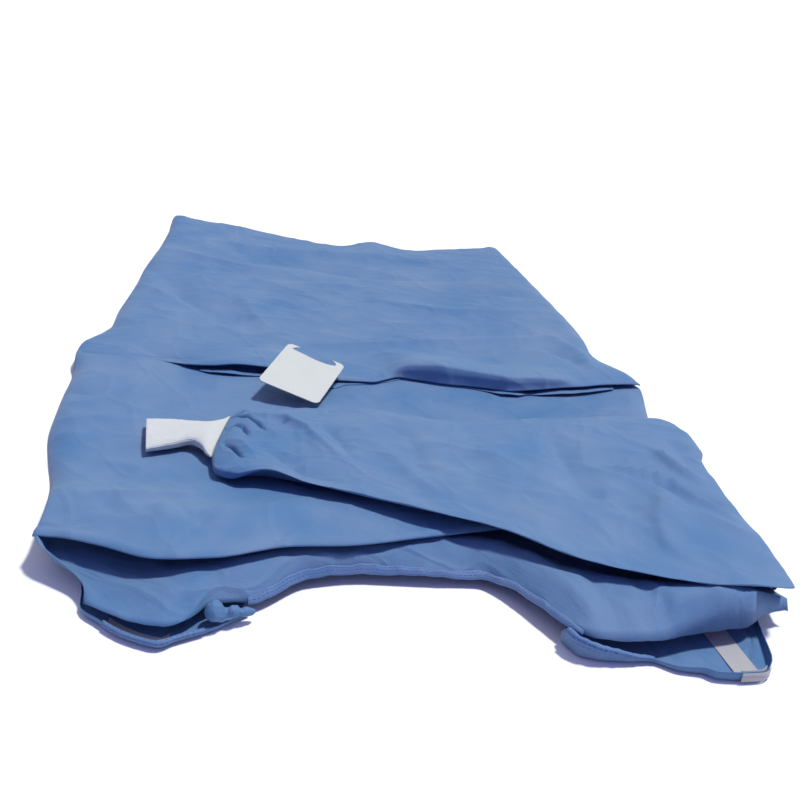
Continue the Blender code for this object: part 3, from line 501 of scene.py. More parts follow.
# creases on the skirt: route in plan, width, height (below 0 for a trough), longer flank
skirtCreases = [
    (((-0.250, 0.360), (-0.136, 0.374), (-0.004, 0.333), (0.190, 0.339)), 0.010, -0.0030, 0.7),
    (((-0.330, 0.385), (-0.206, 0.338), (-0.120, 0.330)), 0.009, 0.0026, -0.5),
    (((-0.020, 0.215), (0.112, 0.170), (0.255, 0.178)), 0.009, 0.0028, 0.8),
    (((0.010, 0.090), (0.060, 0.100), (0.120, 0.115)), 0.007, 0.0016, 0.5),
    (((-0.090, -0.008), (0.085, 0.033), (0.290, 0.074)), 0.0065, 0.0026, 0.9),
    (((-0.310, 0.165), (-0.255, 0.115)), 0.009, 0.0022, 0.4),
    (((-0.278, 0.215), (-0.244, 0.030)), 0.010, -0.0022, 0.6),
    (((-0.190, 0.190), (-0.130, 0.015)), 0.011, 0.0026, 0.5),
    (((-0.335, 0.290), (-0.262, 0.150), (-0.185, 0.040)), 0.016, -0.0030, 0.6),
    (((0.262, 0.075), (0.284, 0.020), (0.290, -0.060)), 0.0060, 0.0030, -0.6),
    (((0.236, 0.030), (0.268, -0.020), (0.276, -0.070)), 0.0050, -0.0022, 0.3),
    (((-0.290, -0.055), (-0.251, -0.086), (-0.215, -0.100)), 0.0045, -0.0018, 0.4),
    (((-0.300, 0.470), (-0.120, 0.455), (0.060, 0.468), (0.210, 0.440)), 0.014, 0.0024, 0.9),
    (((-0.160, 0.250), (-0.020, 0.270), (0.090, 0.240)), 0.010, 0.0020, -0.7),
    (((0.150, 0.290), (0.260, 0.250)), 0.008, -0.0018, 0.6),
]

# creases on the upper chest, between the fold and the neckline
upperCreases = [
    (((0.150, -0.560), (0.190, -0.566), (0.230, -0.560), (0.275, -0.548)), 0.0028, -0.0010, 0.0),
    (((0.178, -0.590), (0.215, -0.588), (0.262, -0.572)), 0.0026, -0.0009, 0.0),
    (((0.205, -0.545), (0.225, -0.575), (0.222, -0.598)), 0.0034, 0.0016, 0.5),
    (((0.230, -0.535), (0.262, -0.560), (0.300, -0.566)), 0.0034, 0.0014, 0.4),
    (((0.165, -0.545), (0.170, -0.580)), 0.0050, -0.0014, 0.4),
    (((0.130, -0.535), (0.152, -0.575), (0.158, -0.600)), 0.0060, 0.0018, 0.6),
    (((-0.215, -0.560), (-0.180, -0.582), (-0.140, -0.570)), 0.0070, 0.0014, 0.5),
    (((-0.095, -0.556), (-0.040, -0.530), (0.060, -0.520)), 0.0050, 0.0010, 0.6),
    (((-0.160, -0.600), (-0.150, -0.572)), 0.0040, -0.0012, 0.3),
]

# creases on the raised chest, in front of and under the folded sleeve
chestCreases = [
    (((-0.338, -0.198), (-0.308, -0.211)), 0.0035, -0.0020, 0.6),
    (((-0.325, -0.230), (-0.320, -0.258)), 0.0035, -0.0015, 0.3),
    (((-0.330, -0.272), (-0.240, -0.262)), 0.0060, 0.0018, 0.8),
    (((-0.325, -0.314), (-0.280, -0.306)), 0.0050, 0.0014, 0.8),
    (((-0.200, -0.300), (-0.120, -0.330), (-0.080, -0.360)), 0.010, -0.0020, 0.5),
    (((-0.262, -0.448), (-0.175, -0.438), (-0.150, -0.416)), 0.0055, 0.0030, 0.9),
    (((-0.252, -0.452), (-0.222, -0.490)), 0.0070, -0.0024, 0.6),
    (((-0.200, -0.402), (-0.185, -0.419), (-0.158, -0.414)), 0.0040, 0.0022, 0.4),
    (((-0.176, -0.392), (-0.158, -0.404), (-0.140, -0.398)), 0.0040, 0.0018, 0.4),
    (((-0.196, -0.448), (-0.188, -0.505)), 0.0060, 0.0022, 0.8),
    (((-0.186, -0.460), (-0.150, -0.508)), 0.0060, -0.0020, 0.5),
    (((-0.120, -0.470), (-0.060, -0.470)), 0.0070, 0.0016, 0.8),
    (((-0.280, -0.360), (-0.230, -0.375), (-0.195, -0.365)), 0.0060, 0.0018, 0.7),
    (((-0.240, -0.400), (-0.215, -0.385), (-0.205, -0.400)), 0.0045, 0.0015, 0.5),
]


def frontPlace(y, share):
    sides = frontCut["sides"]
    left = through(sides["y"], sides["left"], y)
    return left + (through(sides["y"], sides["right"], y) - left) * share


def frontHeight(x, y):
    sides, heights = frontCut["sides"], frontCut["height"]
    left, right = through(sides["y"], sides["left"], y), through(sides["y"], sides["right"], y)
    reach = np.minimum(x - left, right - x)
    middle = through(heights["y"], heights["middle"], y)
    side = through(heights["y"], heights["side"], y)
    return middle + (side - middle) * (1 - ease(0.03, 0.20, reach))


def upperPlace(y, share):
    rim = frontCut["rim"]
    left = through(rim["y"], rim["x"], y)
    return left + (frontCut["upperRight"] - left) * share


def crestLift(x, y):
    # the upper chest swells up to the folds that cross it and falls to the neck edge
    crest, neck = frontCut["crest"], frontCut["neck"]
    ridge, edge = through(crest["x"], crest["y"], x), through(neck["x"], neck["y"], x)
    height = through(crest["x"], crest["z"], x) - frontCut["upperZ"]
    front = np.clip((y - edge) / np.maximum(ridge - edge, 0.008), 0, 1)
    return height * np.sin(front * np.pi / 2) * ease(ridge + 0.050, ridge + 0.002, y)


def foldPath(lip, top, low, depth, turn):
    # section of a fold: over the lip, back under it, and forward again
    back, under = lip + depth, top - 2 * turn
    gap = (under - low) / 2
    path = []
    for angle in (60, 20, -25, -65):
        swing = math.radians(angle)
        path.append((lip + turn - turn * math.cos(swing), top - turn + turn * math.sin(swing)))
    path.append((lip + turn * 1.6, under))
    path.append((back - gap * 0.6, under))
    for angle in (55, 0, -55):
        swing = math.radians(angle)
        path.append((back + gap * 0.6 * math.cos(swing), low + gap + gap * math.sin(swing)))
    path.append((back - gap * 0.8, low))
    return path


def frontRows(share):
    # rows (x, y, z, folded, zone) from hem to neckline, for all columns at once
    cut = frontCut
    hem, pleat, chest, neck = cut["hem"], cut["pleat"], cut["chest"], cut["neck"]
    rows = []

    def add(x, y, z, folded, zone):
        filled = [np.broadcast_to(np.asarray(value, float), share.shape) for value in (x, y, z, folded)]
        rows.append((np.stack(filled, axis=-1), zone))

    hemX, waistX, chestX = frontPlace(0.58, share), frontPlace(-0.110, share), frontPlace(-0.500, share)
    hemY, hemZ = through(hem["x"], hem["y"], hemX), through(hem["x"], hem["z"], hemX)
    lip = through(pleat["x"], pleat["lip"], waistX)
    face = through(pleat["x"], pleat["face"], waistX)
    rise = through(pleat["x"], pleat["rise"], waistX)
    start = lip + face + cut["pleatApproach"]
    for i in range(cut["skirtRows"]):
        y = hemY + (start - hemY) * i / (cut["skirtRows"] - 1)
        x = frontPlace(y, share)
        lift = (hemZ - frontHeight(hemX, hemY)) * (1 - ease(0.0, 0.10, hemY - y))
        add(x, y, frontHeight(x, y) + lift, 0.0, "skirt")

    depth = through(pleat["x"], pleat["depth"], waistX)
    opened = through(pleat["x"], pleat["open"], waistX)
    turn = through(pleat["x"], pleat["turn"], waistX)
    low = frontHeight(waistX, lip)
    top = low + opened + 2 * turn
    section = [
        (lip + face + 0.028, low + (top + rise - low) * 0.92),
        (lip + face + 0.009, top + rise - 0.0002),
        (lip + face + 0.001, top + rise * 0.97 - 0.0006),
        (lip + face * 0.45 + 0.001, top + rise * 0.45),
    ]
    section += foldPath(lip, top, low, depth, turn)
    section.append((lip - 0.004, low))
    for i, (y, z) in enumerate(section):
        add(frontPlace(y, share), y, z, 1.0, "skirt" if i < 4 else "pleat")

    foldLip = through(chest["x"], chest["lip"], chestX)
    foldTop = through(chest["x"], chest["top"], chestX)
    foldBack = through(chest["x"], chest["depth"], chestX)
    begin, end = lip - 0.034, foldLip + 0.016
    for i in range(cut["chestRows"]):
        y = begin + (end - begin) * i / (cut["chestRows"] - 1)
        x = frontPlace(y, share)
        near = ease(foldLip + 0.150, foldLip + 0.045, y)
        add(x, y, frontHeight(x, y) * (1 - near) + (foldTop - 0.0008) * near, near, "chest")

    neckX = cut["upperLeft"] + (cut["upperRight"] - cut["upperLeft"]) * share
    edgeY, edgeZ = through(neck["x"], neck["y"], neckX), through(neck["x"], neck["z"], neckX)
    section = foldPath(foldLip, foldTop, cut["upperZ"], foldBack, cut["foldTurn"])
    for i, (y, z) in enumerate(section):
        x = chestX + (upperPlace(y, share) - chestX) * ease(3, 9, i)
        add(x, y, z, 1.0, "turned" if i < 8 else "lower")
    begin = section[-1][0]
    for i in range(1, cut["upperRows"] + 1):
        y = begin + (edgeY - begin) * i / cut["upperRows"]
        near = ease(0.3, 1.0, i / cut["upperRows"])
        x = upperPlace(y, share)
        add(x + (neckX - x) * near, y, cut["upperZ"] + (edgeZ - cut["upperZ"]) * near, 1.0, "upper")
    return rows


def buildFront():
    cut = frontCut
    inset = np.array([0, 0.0015, 0.003, 0.0065, 0.010, 0.015, 0.020, 0.025])
    inner = np.linspace(0.030, cut["width"] - 0.030, int((cut["width"] - 0.060) / gridStep))
    share = np.concatenate([inset, inner, cut["width"] - inset[::-1]]) / cut["width"]
    fromSide = np.minimum(share, 1 - share) * cut["width"]
    rise = through(cut["sideRise"]["inset"], cut["sideRise"]["rise"], fromSide)
    atRim = 1 - ease(cut["rimInsets"][0], cut["rimInsets"][1], share * cut["width"])
    order = {"skirt": 0, "pleat": 1, "chest": 2, "turned": 3, "lower": 4, "upper": 5}
    coarse = []
    for row, zone in frontRows(share):
        held = rise + (1 - rise) * cut["foldShare"] * row[:, 3]
        z = cut["edgeZ"] + (row[:, 2] - cut["edgeZ"]) * held
        if order[zone] > 3:
            z = z + (through(cut["rim"]["y"], cut["rim"]["z"], row[:, 1]) - z) * atRim
        coarse.append(np.column_stack([row[:, :2], z, np.full(len(share), order[zone])]))
    coarse = np.array(coarse)
    fine, zones = refine(coarse[..., :3], gridStep), []
    gaps = np.linalg.norm(np.diff(coarse[..., :3], axis=0), axis=-1).mean(axis=1)
    for i, gap in enumerate(gaps):
        parts = max(1, int(round(gap / gridStep)))
        zones += list(np.linspace(coarse[i, 0, 3], coarse[i + 1, 0, 3], parts, endpoint=False))
    zones = np.array(zones + [coarse[-1, 0, 3]])[:, None]
    facing = ease(0.25, 0.85, np.abs(outward(fine)[..., 2]))
    skirt = 1 - ease(0.0, 0.6, zones)
    chest = ease(1.3, 2.0, zones) * (1 - ease(2.0, 2.6, zones))
    upper = ease(4.2, 4.9, zones)
    calm = ease(0.0, 0.010, fromSide)[None, :]
    lift = skirt * addCreases(fine, skirtCreases) + chest * addCreases(fine, chestCreases)
    lift += upper * addCreases(fine, upperCreases, 3.0)
    swell = ease(3.9, 4.6, zones) * crestLift(fine[..., 0], fine[..., 1]) * (1 - 0.8 * atRim[None, :])
    rough = skirt + chest * 0.85
    lift += rough * (crumple(fine, 0.090, 1) * 0.0022 + crumple(fine, 0.034, 2, 0.7) * 0.0010)
    lift += upper * (crumple(fine, 0.045, 3) * 0.0026 + crumple(fine, 0.018, 4, 0.4) * 0.0008)
    fine[..., 2] = np.maximum(fine[..., 2] + lift * facing * calm + swell, clothWall)
    points = np.ascontiguousarray(fine.transpose(1, 0, 2))
    made = clothSheet("frontPanel", points, cloth)
    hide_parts("front")
    return made, points


print("front panel")
frontPanel, frontPoints = buildFront()
frontTree = heightTree(frontPanel)


# back panels, flat on the table, their near edges turned up as neck bands

backCut = dict(
    hemY=0.505,
    rows=12,
    bandStart=0.97,
    sideInset=0.001,
    cornerShift=0.009,
    cornerReach=14.0,
    centre=table(
        "y left right",
        (0.510, -0.004, 0.000), (0.200, -0.008, 0.004), (-0.200, -0.040, 0.034),
        (-0.420, -0.080, 0.080), (-0.560, -0.106, 0.145),
    ),
    left=table(
        "x y rise",
        (-0.3140, -0.3400, 0.0015), (-0.2880, -0.4000, 0.0015), (-0.2750, -0.4600, 0.0015),
        (-0.2590, -0.5000, 0.0015), (-0.2430, -0.5400, 0.0018), (-0.2365, -0.5651, 0.0040),
        (-0.2352, -0.5766, 0.0050), (-0.2202, -0.5906, 0.0058), (-0.2002, -0.6061, 0.0062),
        (-0.1851, -0.6134, 0.0064), (-0.1715, -0.6172, 0.0064), (-0.1604, -0.6096, 0.0060),
        (-0.1488, -0.6029, 0.0056), (-0.1329, -0.5934, 0.0050), (-0.1191, -0.5814, 0.0045),
        (-0.1098, -0.5731, 0.0040),
    ),
    right=table(
        "x y rise",
        (0.1347, -0.5914, 0.0120), (0.1380, -0.5975, 0.0180), (0.1446, -0.6079, 0.0180),
        (0.1530, -0.6110, 0.0160), (0.1618, -0.6129, 0.0140), (0.1820, -0.6129, 0.0090),
        (0.1995, -0.6107, 0.0050), (0.2071, -0.6135, 0.0045), (0.2216, -0.6213, 0.0060),
        (0.2390, -0.6236, 0.0075), (0.2473, -0.6288, 0.0085), (0.2605, -0.6296, 0.0090),
        (0.2820, -0.6273, 0.0090), (0.2935, -0.6150, 0.0100), (0.3020, -0.5772, 0.0070),
        (0.3120, -0.5200, 0.0030),
    ),
    profile=((-0.0040, 0.0), (0.0, 0.06), (0.0016, 0.50), (0.0018, 1.0)),
)


def edgeOut(feet):
    run = np.gradient(feet, axis=0)
    out = np.stack([run[:, 1], -run[:, 0], np.zeros(len(feet))], axis=-1)
    return out / np.linalg.norm(out, axis=1, keepdims=True)


def nearEdge(edge, count):
    x = np.linspace(edge["x"][0], edge["x"][-1], count)
    feet = np.stack([x, through(edge["x"], edge["y"], x), np.zeros(count)], axis=-1)
    return feet, through(edge["x"], edge["rise"], x)


def buildBack(name, node, side):
    cut = backCut
    feet, rises = nearEdge(cut[side], 66)
    out = edgeOut(feet)
    share = np.linspace(0, 1, len(feet))
    rows = []
    for i in range(cut["rows"]):
        down = i / (cut["rows"] - 1) * cut["bandStart"]
        y = cut["hemY"] + (feet[:, 1] - cut["hemY"]) * down
        middle = through(cut["centre"]["y"], cut["centre"][side], y)
        if side == "left":
            x = (frontPlace(y, 0.0) + cut["sideInset"]) * (1 - share) + middle * share
        else:
            x = middle * (1 - share) + (frontPlace(y, 1.0) - cut["sideInset"]) * share
        x = x + (feet[:, 0] - x) * ease(0.45, 1.0, down)
        if side == "right":
            corner = np.maximum(0, 1 - share * cut["cornerReach"])
            x = x + cut["cornerShift"] * corner * ease(0.5, 0.9, down)
        rows.append(np.stack([x, y, np.full(len(feet), clothWall)], axis=-1))
    for lean, lift in cut["profile"]:
        rows.append(feet + out * lean + np.array([0, 0, 1.0]) * (clothWall + rises * lift)[:, None])
    fine = refine(np.array(rows), 0.0070, least=3)
    made = clothSheet(name, fine, cloth)
    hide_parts(node)
    return made


print("back panels")
backLeft = buildBack("backPanelLeft", "back_left", "left")
backRight = buildBack("backPanelRight", "back_right", "right")


# sleeve folded over the front

sleeveCut = dict(
    around=223,
    lip=0.0011,
    lipFrom=(0.86, 0.985),
    wristLean=0.010,
    clear=0.0010,
    drop=0.09,
    seamX=0.318,
    edgeX=0.333,
    tuck=0.014,
    rings=table(
        "x far near topFar topNear",
        (0.296, -0.199, -0.5680, 0.0300, 0.0465), (0.260, -0.205, -0.5680, 0.0295, 0.0465),
        (0.200, -0.216, -0.5567, 0.0290, 0.0470), (0.150, -0.226, -0.5375, 0.0285, 0.0470),
        (0.100, -0.236, -0.5025, 0.0280, 0.0475), (0.040, -0.228, -0.4775, 0.0280, 0.0475),
        (-0.020, -0.214, -0.4518, 0.0260, 0.0450), (-0.070, -0.222, -0.4287, 0.0255, 0.0430),
        (-0.110, -0.2351, -0.4061, 0.0275, 0.0410), (-0.138, -0.2398, -0.4010, 0.0300, 0.0370),
        (-0.152, -0.2500, -0.3860, 0.0295, 0.0325), (-0.158, -0.2590, -0.3580, 0.0280, 0.0290),
    ),
    turn=table(
        "over z inner near",
        (0.30, 0.0045, 0.3310, -0.524), (0.62, 0.0075, 0.3300, -0.525), (0.92, 0.0150, 0.3285, -0.528),
        (1.00, 0.0260, 0.3230, -0.534), (0.94, 0.0360, 0.3160, -0.548), (0.60, 0.0425, 0.3080, -0.562),
    ),
    fold=table(
        "y x",
        (-0.195, 0.3400), (-0.215, 0.3500), (-0.250, 0.3550), (-0.285, 0.3530), (-0.304, 0.3440),
        (-0.368, 0.3345),
        (-0.427, 0.3310), (-0.500, 0.3345), (-0.530, 0.3325), (-0.545, 0.3300), (-0.558, 0.3270),
        (-0.565, 0.3245),
    ),
)

# creases on the sleeve, with the same columns as the skirt's
sleeveCreases = [
    (((-0.145, -0.272), (-0.096, -0.272), (-0.074, -0.301), (-0.057, -0.338),
      (-0.034, -0.378)), 0.0055, 0.0036, 0.7),
    (((-0.060, -0.285), (-0.040, -0.325), (-0.032, -0.365)), 0.0050, -0.0026, 0.4),
    (((0.018, -0.270), (0.032, -0.310), (0.040, -0.420)), 0.0090, -0.0034, -0.6),
    (((0.005, -0.345), (0.030, -0.411), (0.048, -0.440)), 0.0060, 0.0026, 0.5),
    (((0.186, -0.270), (0.188, -0.351), (0.186, -0.405), (0.208, -0.440)), 0.0110, -0.0036, 0.5),
    (((0.128, -0.425), (0.160, -0.427)), 0.0040, 0.0014, 0.5),
    (((0.205, -0.411), (0.230, -0.405)), 0.0040, 0.0014, 0.5),
    (((0.288, -0.300), (0.296, -0.345), (0.306, -0.370), (0.322, -0.386)), 0.0040, 0.0050, 0.3),
    (((0.228, -0.352), (0.262, -0.372), (0.281, -0.385), (0.295, -0.415),
      (0.322, -0.460)), 0.0034, 0.0058, -0.2),
    (((0.276, -0.378), (0.300, -0.420), (0.318, -0.440)), 0.0036, -0.0040, 0.3),
    (((0.252, -0.372), (0.272, -0.400), (0.286, -0.440)), 0.0040, -0.0030, 0.4),
    (((0.262, -0.415), (0.240, -0.470), (0.236, -0.515), (0.256, -0.540)), 0.0060, 0.0030, 0.9),
    (((0.282, -0.448), (0.320, -0.486)), 0.0055, 0.0026, 0.5),
    (((0.322, -0.265), (0.316, -0.355)), 0.0080, -0.0034, 0.4),
    (((0.250, -0.385), (0.262, -0.420), (0.258, -0.470), (0.268, -0.505)), 0.0200, 0.0040, 0.0),
    (((-0.112, -0.355), (-0.075, -0.405), (-0.045, -0.425)), 0.0070, -0.0030, 0.5),
    (((0.100, -0.300), (0.120, -0.380), (0.112, -0.450)), 0.0130, 0.0022, 0.6),
]

# gathers that run up the sleeve from the cuff, with the same columns
gatherCreases = [
    (((-0.156, -0.272), (-0.146, -0.272), (-0.136, -0.279), (-0.124, -0.292),
      (-0.114, -0.308)), 0.0015, -0.0085, 0.0),
    (((-0.158, -0.322), (-0.153, -0.306), (-0.146, -0.300), (-0.138, -0.304),
      (-0.130, -0.324)), 0.0015, -0.0090, 0.0),
    (((-0.158, -0.333), (-0.151, -0.343), (-0.145, -0.350), (-0.132, -0.376)), 0.0015, -0.0085, 0.0),
    (((-0.156, -0.260), (-0.148, -0.250), (-0.140, -0.243)), 0.0014, -0.0070, 0.0),
    (((-0.154, -0.266), (-0.146, -0.262), (-0.138, -0.254)), 0.0014, -0.0070, 0.0),
    (((-0.158, -0.312), (-0.154, -0.302)), 0.0015, -0.0080, 0.0),
    (((-0.150, -0.246), (-0.136, -0.228), (-0.118, -0.222)), 0.0026, -0.0036, 0.0),
    (((-0.152, -0.314), (-0.134, -0.286), (-0.108, -0.290)), 0.0075, 0.0026, 0.0),
    (((-0.152, -0.328), (-0.135, -0.344), (-0.120, -0.372)), 0.0060, 0.0030, 0.0),
    (((-0.106, -0.290), (-0.098, -0.282), (-0.088, -0.278)), 0.0034, -0.0044, 0.0),
]


def ringPoints(x, far, near, floor, topFar, topNear, count, lip=0.0, lean=0.0):
    # flattened closed ring in the plane of one x, from its far fold over the top; a lip
    # gathers its near fold at the top, and lean slants the ring in plan
    angle = 2 * np.pi * np.arange(count + 1) / count
    across = np.sign(np.cos(angle)) * np.abs(np.cos(angle)) ** 0.8
    across[-1] = across[0]
    share = (1 - across) / 2
    held = ease(*sleeveCut["lipFrom"], share) if lip else np.zeros(len(share))
    up = np.sign(np.sin(angle)) * np.abs(np.sin(angle)) ** (0.65 - 0.25 * held)
    up[-1] = up[0]
    y = far + (near - far) * share
    low = np.array([floor(x, place) for place in y])
    top = topFar + (topNear - topFar) * share
    middle, half = (low + top) / 2, (top - low) / 2
    middle = middle + (top - lip - middle) * held
    half = half + (lip - half) * held
    return np.stack([x - lean * (share - 0.5), y, middle + half * up], axis=-1), low, top


def buildSleeve():
    cut, chest = sleeveCut, frontCut["chest"]
    rings, turn, fold = cut["rings"], cut["turn"], cut["fold"]

    def floor(x, y):
        lip = through(chest["x"], chest["lip"], x)
        crest = through(chest["x"], chest["top"], x)
        height = faceBelow(frontTree, x, y)
        if y < lip + 0.010:
            height = max(height, crest - (lip + 0.010 - y) * cut["drop"])
        return height + cut["clear"]

    far, near = rings["far"][0], rings["near"][0]
    topFar, topNear = rings["topFar"][0], rings["topNear"][0]
    coarse = []
    for over, height, inner, end in zip(turn["over"], turn["z"], turn["inner"], turn["near"]):
        held = min(inner, cut["seamX"])
        ring, low, top = ringPoints(held, far, end, floor, topFar, topNear, cut["around"], cut["lip"])
        upper = (ring[:, 2] - low) / (top - low)
        outer = through(fold["y"], fold["x"], ring[:, 1])
        outer = cut["edgeX"] + (outer - cut["edgeX"]) * over
        begin = inner - cut["tuck"] * ease(0.013, 0.022, height) * ease(-0.500, -0.560, ring[:, 1])
        ring[:, 0] = begin + (outer - begin) * ease(0.05, 0.80, upper)
        ring[:, 2] = low + (height * top / topNear - low) * upper
        coarse.append(ring)
    for i in range(len(rings["x"])):
        x = rings["x"][i]
        coarse.append(ringPoints(
            x, rings["far"][i], rings["near"][i], floor, rings["topFar"][i], rings["topNear"][i],
            cut["around"], cut["lip"] if x > -0.12 else 0.0, cut["wristLean"] * ease(-0.105, -0.158, x),
        )[0])
    ends = np.array([ring[:, 0].mean() for ring in coarse])
    # rings stand closest at the gathered wrist, and closer at the shoulder than between
    steps = np.where(ends[1:] < -0.06, 0.0012, np.where(ends[1:] < 0.14, 0.0070, 0.0034))
    fine = refine(np.array(coarse), steps, least=2)
    normals = outward(fine)
    if normals[len(fine) // 2, cut["around"] // 4, 2] < 0:
        normals = -normals
    upwards = ease(0.15, 0.75, normals[..., 2])
    wrist = ease(-0.150, -0.158, fine[..., 0])
    lift = addCreases(fine, sleeveCreases) + addCreases(fine, gatherCreases, 1.1) * (1 - wrist)
    lift += crumple(fine, 0.095, 5) * 0.0024 + crumple(fine, 0.034, 6, 0.7) * 0.0010
    puff = ease(-0.04, -0.12, fine[..., 0]) * (1 - wrist)
    lift += puff * crumple(fine, 0.022, 7, 0.3) * 0.0010
    fine[..., 2] += lift * upwards * (1 - 0.7 * wrist)
    # the layer underneath stays clear of the front
    under = normals[..., 2] < 0.1
    for i, j in zip(*np.nonzero(under)):
        x, y, z = fine[i, j]
        fine[i, j, 2] = max(z, faceBelow(frontTree, x, y, missing=-1) + 0.0007)
    fine[:, -1] = fine[:, 0]
    made = clothSheet("sleeveOver", fine[:, ::-1].copy(), cloth, tube=True)
    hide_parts("sleeve_right")
    return made


print("sleeve")
sleeveOver = buildSleeve()


# tubes: hidden sleeve and the two knitted cuffs

sleeveTuckedCut = table(
    "x far near low top",
    (-0.248, -0.350, -0.512, 0.0018, 0.0070), (-0.200, -0.350, -0.508, 0.0018, 0.0070),
    (-0.080, -0.356, -0.490, 0.0018, 0.0070), (0.050, -0.366, -0.472, 0.0018, 0.0070),
    (0.150, -0.376, -0.462, 0.0018, 0.0070), (0.172, -0.388, -0.450, 0.0018, 0.0070),
)
cuffOverCut = table(
    "x far near low top lean",
    (-0.1592, -0.2610, -0.3555, 0.0210, 0.0268, 0.0100),
    (-0.1650, -0.2710, -0.3490, 0.0200, 0.0290, 0.0088),
    (-0.1720, -0.2800, -0.3380, 0.0185, 0.0310, 0.0060),
    (-0.1850, -0.2835, -0.3270, 0.0175, 0.0310, 0.0020),
    (-0.2050, -0.2800, -0.3350, 0.0170, 0.0300, -0.0030),
    (-0.2220, -0.2787, -0.3420, 0.0170, 0.0290, -0.0070),
    (-0.2330, -0.2787, -0.3460, 0.0170, 0.0280, -0.0110),
)
cuffTuckedCut = table(
    "x far near low top",
    (0.1723, -0.394, -0.444, 0.0018, 0.0072), (0.2100, -0.396, -0.442, 0.0018, 0.0072),
    (0.2480, -0.394, -0.444, 0.0018, 0.0072),
)


def buildTube(name, node, rings, material, around, step, wall=clothWall, ripple=0.0):
    coarse = []
    for i, x in enumerate(rings["x"]):
        low = rings["low"][i]
        ring = ringPoints(x, rings["far"][i], rings["near"][i], lambda a, b: low,
                          rings["top"][i], rings["top"][i], around,
                          lean=rings["lean"][i] if "lean" in rings else 0.0)[0]
        coarse.append(ring)
    fine = refine(np.array(coarse), step, least=2)
    if rings["x"][0] > rings["x"][-1]:
        fine = fine[:, ::-1].copy()
    if ripple:
        normals = outward(fine)
        fine = fine + normals * (crumple(fine, 0.014, 11, 0.5) * ripple)[..., None]
        fine[:, -1] = fine[:, 0]
    made = clothSheet(name, fine, material, wall=wall, tube=True)
    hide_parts(node)
    return made


print("hidden sleeve and cuffs")
sleeveTucked = buildTube("sleeveTucked", "sleeve_left", sleeveTuckedCut, cloth,
                         60, 0.010)
cuffOver = buildTube("cuffOver", "cuff_right", cuffOverCut, knit,
                     96, 0.0016, wall=0.0009, ripple=0.0006)
cuffTucked = buildTube("cuffTucked", "cuff_left", cuffTuckedCut, knit,
                       48, 0.004, wall=0.0009)


# belts in the waist pleat, laid on the front's own face

beltCut = dict(
    width=0.015, wall=0.0005, step=0.003, probe=0.0020,
    left=table(
        "x y lift card",
        (-0.205, -0.1180, 0.0005, 0), (-0.190, -0.1230, 0.0022, 0), (-0.170, -0.1235, 0.0030, 0),
        (-0.150, -0.1220, 0.0012, 0), (-0.125, -0.1180, 0, 0),
    ),
    right=table(
        "x y lift card",
        (-0.100, -0.1560, 0, 1), (-0.085, -0.1560, 0, 1), (-0.069, -0.1520, 0.0120, 0),
        (-0.056, -0.1455, 0.0030, 0), (-0.042, -0.1400, 0, 0), (-0.030, -0.1290, 0, 0),
        (-0.010, -0.1245, 0, 0), (0.020, -0.1120, 0, 0), (0.040, -0.1010, 0, 0), (0.070, -0.1060, 0, 0),
        (0.090, -0.1130, 0, 0), (0.121, -0.1165, 0, 0), (0.142, -0.1240, 0.0004, 0),
        (0.160, -0.1345, 0.0030, 0), (0.176, -0.1350, 0.0026, 0), (0.192, -0.1280, 0.0004, 0),
        (0.208, -0.1300, 0.0018, 0), (0.240, -0.1290, 0.0034, 0), (0.265, -0.1235, 0.0034, 0),
        (0.284, -0.1160, 0.0028, 0), (0.305, -0.1060, 0.0012, 0),
    ),
)
cardCut = dict(
    centre=(-0.0825, -0.1511, 0.0344), turn=(7.5, 13.0, -16.8), size=(0.0737, 0.0967), thick=0.0012,
    corner=0.0070,
    notch=(
        (0.742, 1.0), (0.800, 0.985), (0.850, 0.955), (0.872, 0.925), (0.862, 0.905), (0.80, 0.882),
        (0.71, 0.866), (0.615, 0.860), (0.50, 0.864), (0.40, 0.874), (0.30, 0.886), (0.20, 0.893),
        (0.135, 0.900), (0.115, 0.912), (0.125, 0.935), (0.165, 0.968), (0.215, 1.0),
    ),
)


def cardPlace():
    turn = Euler([math.radians(angle) for angle in cardCut["turn"]], "XYZ")
    return Matrix.Translation(cardCut["centre"]) @ turn.to_matrix().to_4x4()


def cardUnderside(x, y):
    place = cardPlace()
    normal = place.to_3x3() @ Vector((0, 0, 1))
    onFace = place.translation - normal * cardCut["thick"] / 2
    return onFace.z - (normal.x * (x - onFace.x) + normal.y * (y - onFace.y)) / normal.z


def buildBelt(name, node, route):
    cut = beltCut
    stations = np.arange(route["x"][0], route["x"][-1], cut["step"])
    rows = []
    for share in (1.0, 0.92, 0.75, 0.5, 0.25, 0.0):
        row = []
        for x in stations:
            y = through(route["x"], route["y"], x) + cut["width"] * (1 - share)
            low = float(frontHeight(x, y))
            face = faceBelow(frontTree, x, y, low + cut["probe"], low)
            lying = face + 0.0003 + cut["wall"] + float(through(route["x"], route["lift"], x))
            held = float(through(route["x"], route["card"], x))
            wave = 0.0012 * noise.noise(Vector((x * 45, share * 2, 4.0)))
            row.append((x, y, lying + (cardUnderside(x, y) - 0.0003 - lying) * held + abs(wave)))
        rows.append(row)
    made = clothSheet(name, np.array(rows), cloth, wall=cut["wall"])
    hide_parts(node)
    return made


